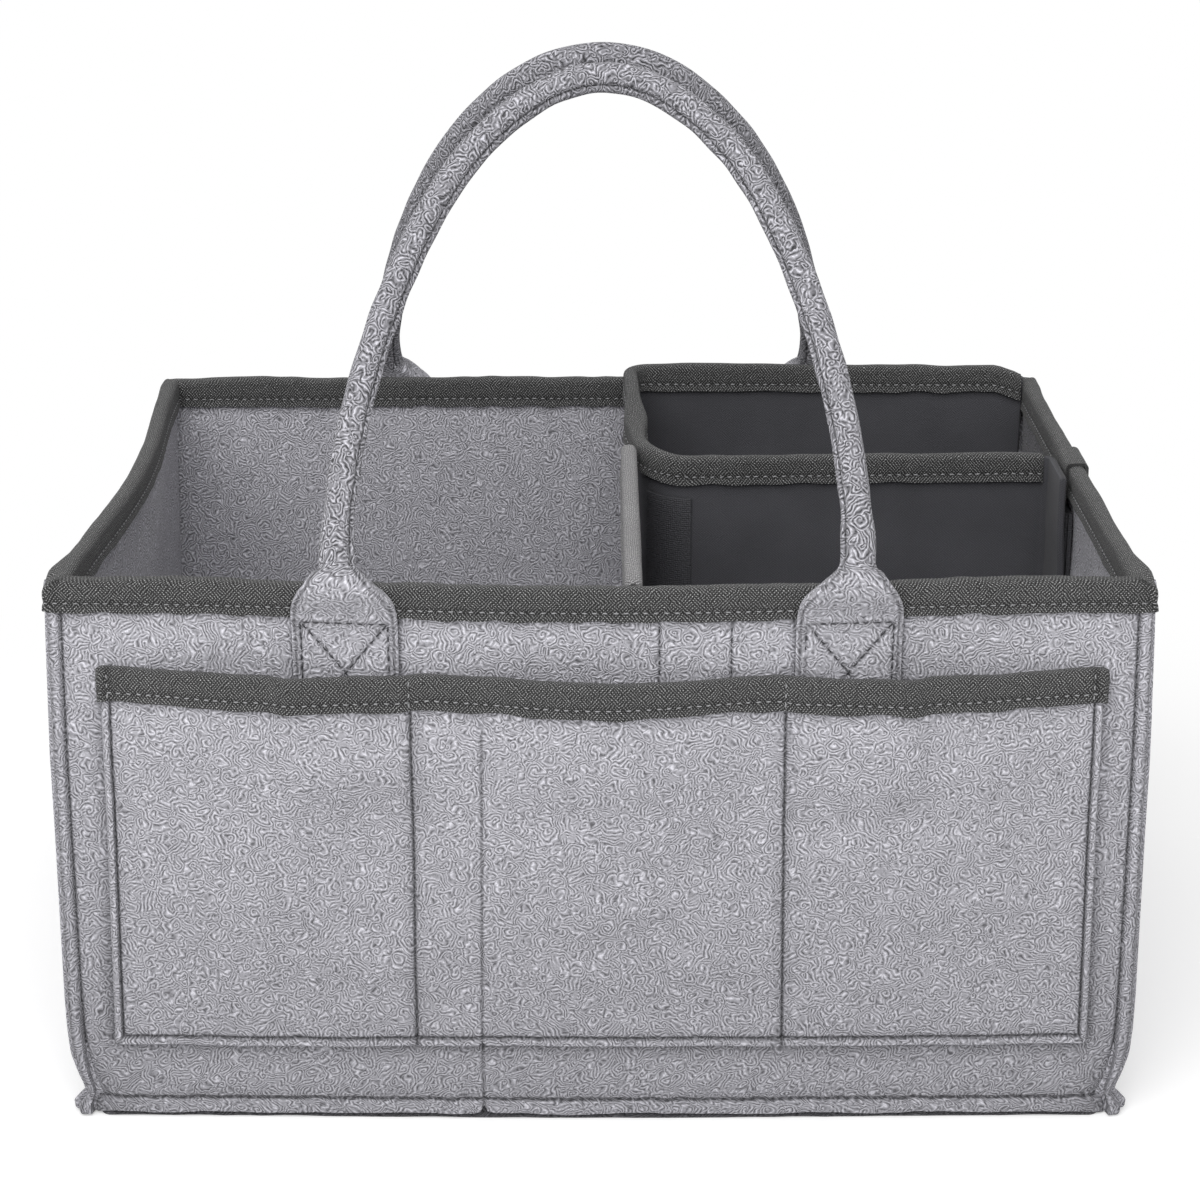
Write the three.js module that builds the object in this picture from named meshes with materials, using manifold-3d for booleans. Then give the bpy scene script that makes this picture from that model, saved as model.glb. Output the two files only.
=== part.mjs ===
// Felt nursery caddy: a soft open box sewn with its seams outside, a front pocket in three
// compartments, two rolled carrying handles, a lift-out divider and a bound rear bin.
// X runs to the right, Y to the back and Z up, in millimetres.

import Module from 'manifold-3d';
import * as THREE from 'three';
import { mergeVertices } from 'three/addons/utils/BufferGeometryUtils.js';

// Body: outer faces of the walls, and how far its soft walls bow at the rim
const bodyWidth = 353;
const bodyDepth = 247;
const bodyHeight = 200;
const feltThickness = 3;
const frontBow = 10;
const backBow = 1.5;
const leftBow = 6;
const bowReach = 100;
const fitGap = 0.3;

// Outside seams: the sewn edge that stands out past each corner, drawn in just above the floor
const seamAllowance = 6;
const seamRadius = 1.5;
const seamTipHeight = 3;
const seamFullHeight = 22;
const seamWideHeight = 40;
const creaseX = -41;
const creaseWidth = 3;
const creaseDepth = 0.8;
const creaseNotch = 2;

// Binding tape, folded over every raw top edge
const tapeThickness = 1.2;
const tapeHeight = 12.5;
const tapeEase = 20;
const tapeRounding = 2.2;

// Stiffening board that lies loose on the bottom
const boardThickness = 3;
const boardMargin = 2.5;
const boardCornerRadius = 10;

// Front pocket: one felt panel with a folded hem, sewn down along two lines between its sides
const pocketHalfWidth = 163.3;
const pocketTaper = 3.1;
const pocketBottom = 31.2;
const pocketMouthDrop = 29.6;
const pocketDrop = 0.6;
const pocketSeams = [-63.3, 62];
const pocketBulges = [6, 7, 6];
const hemWidth = 4;
const hemExtra = 1.4;
const hemStep = 1;
const pocketLiftStart = 57.5;
const pocketLiftEnd = 27.5;
const tapeEndOverhang = 1.4;

// Handles: a felt strip, flat where it is sewn on and rolled round a cord between
const tabCenter = 82.5;
const tabWidth = 34.7;
const tabDrop = 56;
const tabRampHeight = 4.5;
const shoulderHeight = 13.5;
const handleHalfSpan = 86.5;
const handleReach = 181;
const handleDrop = 45;
const handleLeanDegrees = 37.2;
const handleRadius = 4.8;
const handleFelt = 2;
const handleLip = 1.6;
const handleLipThickness = 3;
const rootGap = 0.3;

// Lift-out divider: an upright felt panel with a flange that a hook strip holds to the front wall
const dividerX = 10.8;
const dividerEnd = 29;
const dividerRadius = 6;
const flangeEnd = 46;
const stripInset = 1;
const stripThickness = 1.5;
const stripWidth = 27;
const stripDrop = 16;
const stripLength = 99;
const dividerClearance = 2.2;

// Rear bin: one dark panel that runs along the right wall, across, round to the back and along it
const liningThickness = 2.5;
const crossY = 13;
const crossTilt = 5;
const crossStart = 36;
const binRunX = 16;
const binTurnEnd = 44;
const binCornerRadius = 7;
const binBackGap = 3.2;
const binEnd = 167;
const binFlangeLength = 24;
const binFlangeRadius = 4;
const binRise = 4.5;
const binTabWidth = 21;
const binTabDrop = 14;
const binTabOverlap = 2.5;
const joinStripWidth = 10;
const joinStripThickness = 1.2;

// Places that follow from the sizes above
const sideHalf = bodyWidth / 2;
const frontHalf = bodyDepth / 2;
const baseTop = seamAllowance + feltThickness;
const boardBottom = baseTop + fitGap;
const boardTop = boardBottom + boardThickness;
const liningBottom = boardTop + fitGap;
const tapeBottom = bodyHeight - tapeHeight;
const feltTop = bodyHeight - tapeThickness - fitGap;
const tapeStack = fitGap + tapeThickness;
const innerHalfX = sideHalf - feltThickness;
const innerHalfY = frontHalf - feltThickness;
const seamFaceY = innerHalfY - fitGap;
const pocketHeight = bodyHeight - pocketMouthDrop;
const pocketLiftHeight = pocketHeight - pocketLiftStart;
const pocketLiftedHeight = pocketHeight - pocketLiftEnd;
const tabBottom = bodyHeight - tabDrop;
const stripTop = bodyHeight - stripDrop;
const stripBottom = stripTop - stripLength;

// How far the sewn edge stands out, as shares of the seam allowance, at heights above the floor
const seamHeights = [0, seamTipHeight, baseTop, seamFullHeight, seamWideHeight, tapeBottom - 2 * feltThickness,
  tapeBottom - fitGap, feltTop];
const seamShares = [0.8, 1, 0.35, 0.95, 1.1, 0.8, 0.5, 0.5];

// Colours and finishes
const felt = new THREE.MeshStandardMaterial({ color: 0xaaa9af, roughness: 0.95, metalness: 0 });
const rolledFelt = new THREE.MeshStandardMaterial({ color: 0xa8a8ac, roughness: 0.95, metalness: 0 });
const tape = new THREE.MeshStandardMaterial({ color: 0x595858, roughness: 0.85, metalness: 0 });
const paleTape = new THREE.MeshStandardMaterial({ color: 0x6f6e6e, roughness: 0.85, metalness: 0 });
const lining = new THREE.MeshStandardMaterial({ color: 0x3a3a3e, roughness: 0.9, metalness: 0 });
const hookStrip = new THREE.MeshStandardMaterial({ color: 0x2c2c2e, roughness: 0.8, metalness: 0 });
const board = new THREE.MeshStandardMaterial({ color: 0x8d8c90, roughness: 0.9, metalness: 0 });
const cord = new THREE.MeshStandardMaterial({ color: 0xd9d5cb, roughness: 0.9, metalness: 0 });

const point = (x, y, z) => new THREE.Vector3(x, y, z);
const mix = (from, to, share) => from + (to - from) * share;
const clamp = THREE.MathUtils.clamp;
const smooth = (value, low, high) => THREE.MathUtils.smoothstep(value, low, high);
const spread = (from, to, count) =>
  Array.from({ length: count + 1 }, (_, index) => mix(from, to, index / count));

// Value of a line drawn through places and values, straight between them
function follow(places, values, at) {
  const last = places.length - 1;
  let index = 0;
  while (index < last - 1 && at > places[index + 1]) {
    index += 1;
  }
  const share = clamp((at - places[index]) / (places[index + 1] - places[index]), 0, 1);
  return mix(values[index], values[index + 1], share);
}

// A soft wall keeps its straight base and bows more the higher it goes
const bowAcross = (place, length) => Math.cos(clamp(place / length, -0.5, 0.5) * Math.PI) ** 2;
const rootBow = (x, bow) => bow * bowAcross(x, bodyWidth);

function settle(place) {
  const rise = Math.max(0, (place.z - baseTop) / (bodyHeight - baseTop));
  const nearFront = smooth(-place.y, frontHalf - bowReach, frontHalf - bowReach / 4);
  const nearBack = smooth(place.y, frontHalf - bowReach, frontHalf - bowReach / 4);
  const nearLeft = smooth(-place.x, sideHalf - bowReach, sideHalf - bowReach / 4);
  const across = bowAcross(place.x, bodyWidth);
  const along = bowAcross(place.y, bodyDepth);
  return point(
    place.x + leftBow * nearLeft * along * rise,
    place.y + (backBow * nearBack - frontBow * nearFront) * across * rise,
    place.z,
  );
}

// A closed solid from points and triangles, its faces turned outwards
function solid(points, triangles, settled = true) {
  const places = settled ? points.map(settle) : points;
  let volume = 0;
  for (const [a, b, c] of triangles) {
    volume += places[a].dot(places[b].clone().cross(places[c]));
  }
  const turned = volume < 0 ? triangles.map(([a, b, c]) => [a, c, b]) : triangles;
  const geometry = new THREE.BufferGeometry().setFromPoints(places);
  geometry.setIndex(turned.flat());
  geometry.computeVertexNormals();
  return geometry;
}

// Two quads' worth of triangles between neighbouring points of two rows
const quad = (a, b, c, d) => [[a, b, c], [a, c, d]];

// A sheet of cloth with a face and a back, sewn shut round its edge
function sheet(rows, columns, face, back) {
  const width = columns.length;
  const count = rows.length * width;
  const points = [];
  for (const side of [face, back]) {
    for (const row of rows) {
      for (const column of columns) {
        points.push(side(column, row));
      }
    }
  }
  const triangles = [];
  for (let row = 0; row < rows.length - 1; row += 1) {
    for (let column = 0; column < width - 1; column += 1) {
      const a = row * width + column;
      triangles.push(...quad(a, a + 1, a + width + 1, a + width));
      triangles.push(...quad(count + a, count + a + width, count + a + width + 1, count + a + 1));
    }
  }
  const edge = [];
  for (let column = 0; column < width - 1; column += 1) {
    edge.push(column);
  }
  for (let row = 0; row < rows.length - 1; row += 1) {
    edge.push(row * width + width - 1);
  }
  for (let column = width - 1; column > 0; column -= 1) {
    edge.push((rows.length - 1) * width + column);
  }
  for (let row = rows.length - 1; row > 0; row -= 1) {
    edge.push(row * width);
  }
  edge.forEach((from, index) => {
    const to = edge[(index + 1) % edge.length];
    triangles.push(...quad(from, count + from, count + to, to));
  });
  return solid(points, triangles);
}

// Sections joined one to the next, closed on the first or capped at both ends
function loft(sections, capOutline = null, settled = true) {
  const size = sections[0].length;
  const triangles = [];
  const joints = capOutline ? sections.length - 1 : sections.length;
  for (let index = 0; index < joints; index += 1) {
    const here = index * size;
    const next = ((index + 1) % sections.length) * size;
    for (let corner = 0; corner < size; corner += 1) {
      const beside = (corner + 1) % size;
      triangles.push(...quad(here + corner, here + beside, next + beside, next + corner));
    }
  }
  if (capOutline) {
    const cap = THREE.ShapeUtils.triangulateShape(capOutline, []);
    const last = (sections.length - 1) * size;
    const anticlockwise = !THREE.ShapeUtils.isClockWise(capOutline);
    for (const [a, b, c] of cap) {
      triangles.push(anticlockwise ? [c, b, a] : [a, b, c]);
      triangles.push(anticlockwise ? [last + a, last + b, last + c] : [last + c, last + b, last + a]);
    }
  }
  return solid(sections.flat(), triangles, settled);
}

// Plan points of a line moved sideways; a positive distance lies to the right of its direction
function beside(line, distance) {
  return line.map((place, index) => {
    const before = line[Math.max(0, index - 1)];
    const after = line[Math.min(line.length - 1, index + 1)];
    const away = new THREE.Vector2().subVectors(after, before).normalize();
    return new THREE.Vector2(place.x + away.y * distance, place.y - away.x * distance);
  });
}

const flat = (x, y) => new THREE.Vector2(x, y);

// Plan points along a straight stretch or round a quarter turn
const straight = (from, to, count) =>
  spread(0, 1, count).map((share) => from.clone().lerp(to, share));

function turn(center, radius, fromDegrees, toDegrees, count) {
  return spread(fromDegrees, toDegrees, count).map((degrees) => {
    const angle = THREE.MathUtils.degToRad(degrees);
    return flat(center.x + radius * Math.cos(angle), center.y + radius * Math.sin(angle));
  });
}

// An upright sheet that follows a plan line, with its top edge height given along it
function uprightSheet(line, thickness, bottom, topAt) {
  const right = beside(line, thickness / 2);
  const left = beside(line, -thickness / 2);
  const columns = line.map((_, index) => index);
  const place = (side) => (index, share) =>
    point(side[index].x, side[index].y, mix(bottom, topAt(line[index], index), share));
  return sheet([0, 1], columns, place(right), place(left));
}

// Corner places of folded tape: shares across the fold, and which height each one takes
const foldAcrossShares = [0, 0, 0.13, 0.36, 0.64, 0.87, 1, 1];
const foldDropShares = [0, 1, 0.34, 0, 0, 0.34, 1, 0];

// One section of folded tape between its outer and inner plan points
function foldedSection(outer, inner, bottom, top) {
  const width = outer.distanceTo(inner);
  const leg = tapeThickness / width;
  const across = (share, height) =>
    point(mix(outer.x, inner.x, share), mix(outer.y, inner.y, share), height);
  const lastFold = foldAcrossShares.length - 1;
  const outside = foldAcrossShares.map((share, index) => {
    const height = index === 0 || index === lastFold ? bottom : top - tapeRounding * foldDropShares[index];
    return across(share, height);
  });
  const roof = top - tapeThickness;
  return [...outside, across(1 - leg, bottom), across(1 - leg, roof), across(leg, roof), across(leg, bottom)];
}

// Outline of that section, used to close the ends of a length of tape
const foldedOutline = foldedSection(flat(0, 0), flat(feltThickness + 2 * tapeStack, 0), 0, tapeHeight)
  .map((place) => flat(place.x, place.z));

// Tape folded over the top edge of an upright sheet
function foldedTape(line, sheetThickness, topAt) {
  const reach = sheetThickness / 2 + tapeStack;
  const outer = beside(line, reach);
  const inner = beside(line, -reach);
  const sections = line.map((place, index) =>
    foldedSection(outer[index], inner[index], topAt(place, index) - tapeHeight, topAt(place, index)));
  return loft(sections, foldedOutline);
}

// Walls: the front and back panels run past the corners and carry the sewn edge
const sideFlare = (height) => seamAllowance * follow(seamHeights, seamShares, height);
const wallColumns = [-2, ...spread(-1, 1, 24), 2];
const wallX = (column, height) =>
  (Math.abs(column) <= 1 ? column * sideHalf : Math.sign(column) * (sideHalf + sideFlare(height)));

function frontPanel() {
  const creaseColumns = [creaseX - creaseWidth / 2, creaseX, creaseX + creaseWidth / 2];
  const columns = [...wallColumns.filter((column) =>
    Math.abs(column * sideHalf - creaseX) > creaseWidth), ...creaseColumns.map((x) => x / sideHalf)]
    .sort((a, b) => a - b);
  const isCrease = (column) => Math.abs(column * sideHalf - creaseX) < creaseWidth / 4;
  const lifted = (column, height) => (isCrease(column) && height === 0 ? creaseNotch : height);
  const dent = (column, height) => (isCrease(column) && height < bodyHeight / 2 ? creaseDepth : 0);
  return sheet(
    seamHeights,
    columns,
    (column, height) =>
      point(wallX(column, height), dent(column, height) - frontHalf, lifted(column, height)),
    (column, height) => point(wallX(column, height), -innerHalfY, lifted(column, height)),
  );
}

function backPanel() {
  return sheet(
    seamHeights,
    wallColumns,
    (column, height) => point(wallX(column, height), frontHalf, height),
    (column, height) => point(wallX(column, height), innerHalfY, height),
  );
}

// Side panels: each wall turns outwards at both ends and lies flat against the sewn edge
function sidePanel(side) {
  const faceY = seamFaceY - feltThickness;
  const bend = flat(sideHalf + seamRadius, -(faceY - seamRadius));
  const outside = [null, ...turn(bend, seamRadius, 270, 180, 3)];
  const inside = [null, ...turn(bend, seamRadius + feltThickness, 270, 180, 3)];
  const wallStart = bend.y;
  const middle = spread(wallStart, -wallStart, 14).slice(1, -1);
  const mirrored = (list) => list.slice().reverse();
  const back = (place) => (place ? flat(place.x, -place.y) : null);
  const face = [...outside, ...middle.map((y) => flat(sideHalf, y)), ...mirrored(outside).map(back)];
  const rear = [...inside, ...middle.map((y) => flat(innerHalfX, y)), ...mirrored(inside).map(back)];
  const columns = face.map((_, index) => index);
  const endY = (index, distance) => (index === 0 ? -distance : distance);
  const place = (list, distance) => (index, height) => {
    if (!list[index]) {
      return point(side * (sideHalf + sideFlare(height)), endY(index, distance), height);
    }
    return point(side * list[index].x, list[index].y, height);
  };
  return sheet(seamHeights, columns, place(face, faceY), place(rear, seamFaceY));
}

// A ring of plan points with round corners, at one height
function roundedRing(halfX, halfY, radius, height) {
  const ring = [];
  [[1, 1, 0], [-1, 1, 90], [-1, -1, 180], [1, -1, 270]].forEach(([signX, signY, start]) => {
    const center = flat(signX * (halfX - radius), signY * (halfY - radius));
    ring.push(...turn(center, radius, start, start + 90, 4).map((p) => point(p.x, p.y, height)));
  });
  return ring;
}

const ringOutline = (ring) => ring.map((place) => flat(place.x, place.y));

// Bottom: a felt panel whose four edges are turned down and sewn inside the walls' lower edges
function bottomPanel() {
  const halfX = innerHalfX - fitGap;
  const halfY = seamFaceY;
  const radius = seamRadius + feltThickness;
  const rings = [
    roundedRing(halfX - feltThickness, halfY - feltThickness, seamRadius, seamAllowance),
    roundedRing(halfX - feltThickness, halfY - feltThickness, seamRadius, 0),
    roundedRing(halfX, halfY, radius, 0),
    roundedRing(halfX, halfY, radius, baseTop - feltThickness / 3),
    roundedRing(halfX - feltThickness / 3, halfY - feltThickness / 3, radius, baseTop),
  ];
  return loft(rings, ringOutline(rings[0]));
}

function baseBoard() {
  const halfX = innerHalfX - boardMargin;
  const halfY = innerHalfY - boardMargin;
  const edge = boardThickness / 4;
  const rings = [
    roundedRing(halfX - edge, halfY - edge, boardCornerRadius, boardBottom),
    roundedRing(halfX, halfY, boardCornerRadius, boardBottom + edge),
    roundedRing(halfX, halfY, boardCornerRadius, boardTop - edge),
    roundedRing(halfX - edge, halfY - edge, boardCornerRadius, boardTop),
  ];
  return loft(rings, ringOutline(rings[0]));
}

// Rim: one length of tape round all four walls, wide over the sewn corners
function rimBinding() {
  const outerY = frontHalf + tapeStack;
  const innerY = innerHalfY - tapeStack;
  const innerX = innerHalfX - tapeStack;
  const cornerX = sideHalf + sideFlare(feltTop) + tapeStack;
  const wallOuterX = sideHalf + tapeStack;
  const cornerCenter = flat(cornerX - tapeStack, frontHalf);
  const easeStart = seamFaceY - feltThickness - tapeStack;
  const quarter = [];
  for (const share of spread(0, 1, 10)) {
    quarter.push([flat(share * cornerCenter.x, outerY), flat(share * innerX, innerY)]);
  }
  turn(cornerCenter, tapeStack, 90, 0, 3).slice(1).forEach((place) => {
    quarter.push([place, flat(innerX, innerY)]);
  });
  for (const y of [easeStart, easeStart - tapeEase / 2, easeStart - tapeEase]) {
    const away = smooth(y, easeStart - tapeEase, easeStart);
    quarter.push([flat(mix(wallOuterX, cornerX, away), y), flat(innerX, Math.min(y, innerY - tapeStack))]);
  }
  const firstSideY = easeStart - tapeEase;
  for (const y of spread(firstSideY, 0, 5).slice(1)) {
    quarter.push([flat(wallOuterX, y), flat(innerX, y)]);
  }
  const flip = (signX, signY) => quarter.map((pair) => pair.map((p) => flat(signX * p.x, signY * p.y)));
  const lap = [
    ...flip(1, -1),
    ...flip(1, 1).reverse().slice(1),
    ...flip(-1, 1).slice(1),
    ...flip(-1, -1).reverse().slice(1, -1),
  ];
  return loft(lap.map(([outer, inner]) => {
    const section = foldedSection(outer, inner, tapeBottom, bodyHeight);
    return section;
  }));
}

// Front pocket: swells between its seams, and stands clear of the handle tabs and of its own tape
const pocketTop = (x) => pocketHeight - pocketDrop * x / (2 * pocketHalfWidth);
const pocketSide = (height) =>
  pocketHalfWidth + pocketTaper * (1 - clamp(height / pocketHeight, 0, 1));
const pocketEdges = [-pocketHalfWidth, ...pocketSeams, pocketHalfWidth];
const tabCoverFade = tabWidth / 4;

function pocketStandoff(x, height) {
  const bay = x < pocketSeams[0] ? 0 : Number(x > pocketSeams[1]) + 1;
  const share = clamp((x - pocketEdges[bay]) / (pocketEdges[bay + 1] - pocketEdges[bay]), 0, 1);
  const climb = clamp((height - pocketBottom - hemWidth) / (pocketLiftedHeight - pocketBottom), 0, 1);
  const swell = pocketBulges[bay] * Math.sin(share * Math.PI) ** 2 * Math.sin(climb * Math.PI / 2);
  const lifted = clamp((height - pocketLiftHeight) / (pocketLiftedHeight - pocketLiftHeight), 0, 1);
  const tabEdge = tabWidth / 2 + fitGap;
  const overTab = 1 - smooth(Math.abs(Math.abs(x) - tabCenter), tabEdge, tabEdge + tabCoverFade);
  return fitGap + swell + lifted * (tapeStack + fitGap / 2 + overTab * (feltThickness + fitGap));
}

function pocketColumns() {
  const tabEdge = tabWidth / 2 + fitGap;
  const steps = [-tabEdge - tabCoverFade, -tabEdge, tabEdge, tabEdge + tabCoverFade];
  const fixed = [-pocketHalfWidth, -pocketHalfWidth + hemWidth, creaseX - creaseWidth / 2, creaseX,
    creaseX + creaseWidth / 2, ...pocketSeams, pocketHalfWidth - hemWidth, pocketHalfWidth];
  for (const side of [-1, 1]) {
    fixed.push(...steps.map((step) => side * tabCenter + step));
  }
  const kept = fixed.slice().sort((a, b) => a - b)
    .filter((x, index, list) => index === 0 || x - list[index - 1] > creaseWidth / 3);
  const full = [];
  kept.forEach((x, index) => {
    const next = kept[index + 1];
    full.push(x);
    if (next !== undefined) {
      const parts = Math.max(1, Math.round((next - x) / hemWidth / 4));
      full.push(...spread(x, next, parts).slice(1, -1));
    }
  });
  return full;
}

function frontPocket() {
  const isCrease = (x) => Math.abs(x - creaseX) < creaseWidth / 4;
  const place = (x, height) => {
    const across = x * pocketSide(height) / pocketHalfWidth;
    return Math.abs(x) > pocketHalfWidth - hemWidth - hemStep ? across : x;
  };
  const heights = [pocketBottom, pocketBottom + hemWidth, pocketBottom + hemWidth + hemStep,
    ...spread(pocketBottom + 2 * hemWidth, pocketLiftHeight, 3),
    ...spread(pocketLiftHeight, pocketLiftedHeight, 2).slice(1)];
  const topRow = heights.length;
  const rows = [...heights.map((_, index) => index), topRow];
  const heightAt = (x, row) => (row < topRow ? heights[row] : pocketTop(x) - tapeThickness - fitGap);
  const hemmed = (x, height) =>
    height <= pocketBottom + hemWidth || Math.abs(x) > pocketHalfWidth - hemWidth - hemStep / 2;
  const back = (x, row) => {
    const height = heightAt(x, row);
    return point(place(x, height), -frontHalf - pocketStandoff(x, height), height);
  };
  const face = (x, row) => {
    const height = heightAt(x, row);
    const behind = back(x, row);
    const inTape = row >= topRow - 1;
    const hem = hemmed(x, height) && !inTape ? hemExtra : 0;
    const dent = isCrease(x) && !inTape ? creaseDepth : 0;
    return point(behind.x, behind.y - feltThickness - hem + dent, behind.z);
  };
  return sheet(rows, pocketColumns(), face, back);
}

// Tape along the pocket's mouth, its two ends folded in past the pocket's sides
function pocketBinding() {
  const ends = [-pocketHalfWidth - tapeEndOverhang, pocketHalfWidth + tapeEndOverhang];
  const columns = [ends[0], ...pocketColumns(), ends[1]];
  const sections = columns.map((x) => {
    const behind = frontHalf + pocketStandoff(x, pocketHeight);
    const outer = flat(x, -behind - feltThickness - tapeStack);
    const inner = flat(x, -behind + tapeStack);
    return foldedSection(outer, inner, pocketTop(x) - tapeHeight, pocketTop(x));
  });
  return loft(sections, foldedOutline);
}

// Handle tab: flat where it is sewn, then drawn together into a roll above the rim
const ringPoints = 16;
const shoulderTop = bodyHeight + 3 * fitGap;
const tabBackY = frontHalf + fitGap;
const rollBackY = frontHalf + tapeStack + fitGap;
const tabSquareness = 7;
const neckPower = 0.28;
const rollPower = 1.5;

function handleTab(sideX, sideY) {
  const shoulderBottom = shoulderTop - shoulderHeight;
  const rampBottom = shoulderBottom - tabRampHeight;
  const heights = [tabBottom, rampBottom, ...spread(shoulderBottom, shoulderTop, 7)];
  const rings = heights.map((height) => {
    const roll = clamp((height - shoulderBottom) / shoulderHeight, 0, 1);
    const ramp = clamp((height - rampBottom) / tabRampHeight, 0, 1);
    const halfWidth = mix(handleRadius, tabWidth / 2, (1 - roll) ** neckPower);
    const halfThickness = mix(feltThickness / 2, handleRadius, roll ** rollPower);
    const centerX = mix(tabCenter, handleHalfSpan, roll);
    const backY = mix(tabBackY, rollBackY, ramp);
    const power = 2 / mix(tabSquareness, 2, roll);
    return spread(0, 2 * Math.PI, ringPoints).slice(1).map((angle) => {
      const across = Math.sign(Math.cos(angle)) * Math.abs(Math.cos(angle)) ** power;
      const out = Math.sign(Math.sin(angle)) * Math.abs(Math.sin(angle)) ** power;
      const y = backY + halfThickness * (1 + out);
      return point(sideX * (centerX + halfWidth * across), sideY * y, height);
    });
  });
  return loft(rings, rings[0].map((place) => flat(place.x, place.y)));
}

// Handles: the top of a tall ellipse, in a plane that leans in over the caddy, with its centre
// below the roots
const lean = THREE.MathUtils.degToRad(handleLeanDegrees);
const rootZ = shoulderTop + rootGap;
const rootY = rollBackY + handleRadius;
const archHeight = handleReach + handleDrop;
const archHalfWidth = handleHalfSpan / Math.sqrt(1 - (handleDrop / archHeight) ** 2);
const cutAllowance = 2 * handleRadius;

class HandlePath extends THREE.Curve {
  constructor(side) {
    super();
    this.side = side;
  }

  getPoint(share, target = new THREE.Vector3()) {
    const start = Math.asin((handleDrop - cutAllowance) / archHeight);
    const angle = mix(start, Math.PI - start, share);
    const bow = rootBow(handleHalfSpan, this.side < 0 ? frontBow : backBow);
    const along = archHeight * Math.sin(angle) - handleDrop;
    return target.set(
      -archHalfWidth * Math.cos(angle),
      this.side * (rootY + bow - along * Math.sin(lean)),
      rootZ + along * Math.cos(lean),
    );
  }
}

const wasm = await Module();
wasm.setup();

function toManifold(geometry) {
  const bare = geometry.clone();
  bare.deleteAttribute('normal');
  bare.deleteAttribute('uv');
  const merged = mergeVertices(bare);
  return new wasm.Manifold(new wasm.Mesh({
    numProp: 3,
    vertProperties: new Float32Array(merged.attributes.position.array),
    triVerts: new Uint32Array(merged.index.array),
  }));
}

function fromManifold(body) {
  const mesh = body.getMesh();
  const geometry = new THREE.BufferGeometry();
  geometry.setAttribute('position', new THREE.BufferAttribute(mesh.vertProperties, 3));
  geometry.setIndex(new THREE.BufferAttribute(mesh.triVerts, 1));
  geometry.computeVertexNormals();
  return geometry;
}

// Both legs of a handle are cut level where they meet the tabs
function cutLevel(geometry) {
  const block = new THREE.BoxGeometry(4 * handleHalfSpan, 4 * bodyDepth, handleReach);
  block.translate(0, 0, rootZ - handleReach / 2);
  return fromManifold(toManifold(geometry).subtract(toManifold(block)));
}

const handleSteps = 38;

function handleSleeve(side) {
  const outline = new THREE.Shape();
  const halfLip = handleLipThickness / 2;
  const lipAngle = Math.asin(halfLip / handleRadius);
  outline.moveTo(-handleRadius - handleLip, halfLip / 2);
  turn(flat(0, 0), handleRadius, 180 - THREE.MathUtils.radToDeg(lipAngle),
    THREE.MathUtils.radToDeg(lipAngle) - 180, 9).forEach((place) => outline.lineTo(place.x, place.y));
  outline.lineTo(-handleRadius - handleLip, -halfLip / 2);
  const bore = new THREE.Path();
  bore.setFromPoints(turn(flat(0, 0), handleRadius - handleFelt, 0, 360, 8).slice(1));
  outline.holes.push(bore);
  const tube = new THREE.ExtrudeGeometry(outline, { steps: handleSteps, extrudePath: new HandlePath(side) });
  return cutLevel(tube);
}

function handleCore(side) {
  const outline = new THREE.Shape();
  const radius = handleRadius - handleFelt - 1.5 * fitGap;
  outline.setFromPoints(turn(flat(0, 0), radius, 0, 360, 6).slice(1));
  const tube = new THREE.ExtrudeGeometry(outline, { steps: handleSteps, extrudePath: new HandlePath(side) });
  return cutLevel(tube);
}

// Lift-out divider: along the front wall, round a bend and back to the rear bin
const loopY = -innerHalfY + fitGap;
const hookY = loopY + stripThickness + fitGap;
const flangeY = hookY + stripThickness + fitGap + feltThickness / 2;

function dividerLine() {
  const bend = flat(dividerX + dividerRadius, flangeY + dividerRadius);
  return [
    ...straight(flat(flangeEnd, flangeY), flat(bend.x, flangeY), 4),
    ...turn(bend, dividerRadius, 270, 180, 4).slice(1),
    ...straight(flat(dividerX, bend.y), flat(dividerX, dividerEnd), 12).slice(1),
  ];
}

function frontDivider() {
  const pastBend = (place) => place.y > flangeY + dividerRadius - fitGap;
  const topAt = (place) => (pastBend(place) ? feltTop : stripTop);
  return uprightSheet(dividerLine(), feltThickness, liningBottom, topAt);
}

function frontDividerBinding() {
  const start = -innerHalfY + tapeStack + dividerClearance;
  const line = straight(flat(dividerX, start), flat(dividerX, dividerEnd + fitGap), 12);
  return foldedTape(line, feltThickness, () => bodyHeight);
}

function wallStrip(faceY) {
  const left = flangeEnd - stripInset - stripWidth;
  const columns = spread(left, left + stripWidth, 3);
  return sheet(
    [stripBottom, stripTop],
    columns,
    (x, height) => point(x, faceY, height),
    (x, height) => point(x, faceY + stripThickness, height),
  );
}

// Rear bin: its plan line runs from the right wall flange across, round to the back and along it
const sideLoopX = innerHalfX - fitGap;
const sideHookX = sideLoopX - stripThickness - fitGap;
const binFlangeX = sideHookX - stripThickness - fitGap - liningThickness / 2;
const binBackY = innerHalfY - binBackGap - liningThickness / 2;
const crossEndY = crossY + crossTilt;

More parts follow.
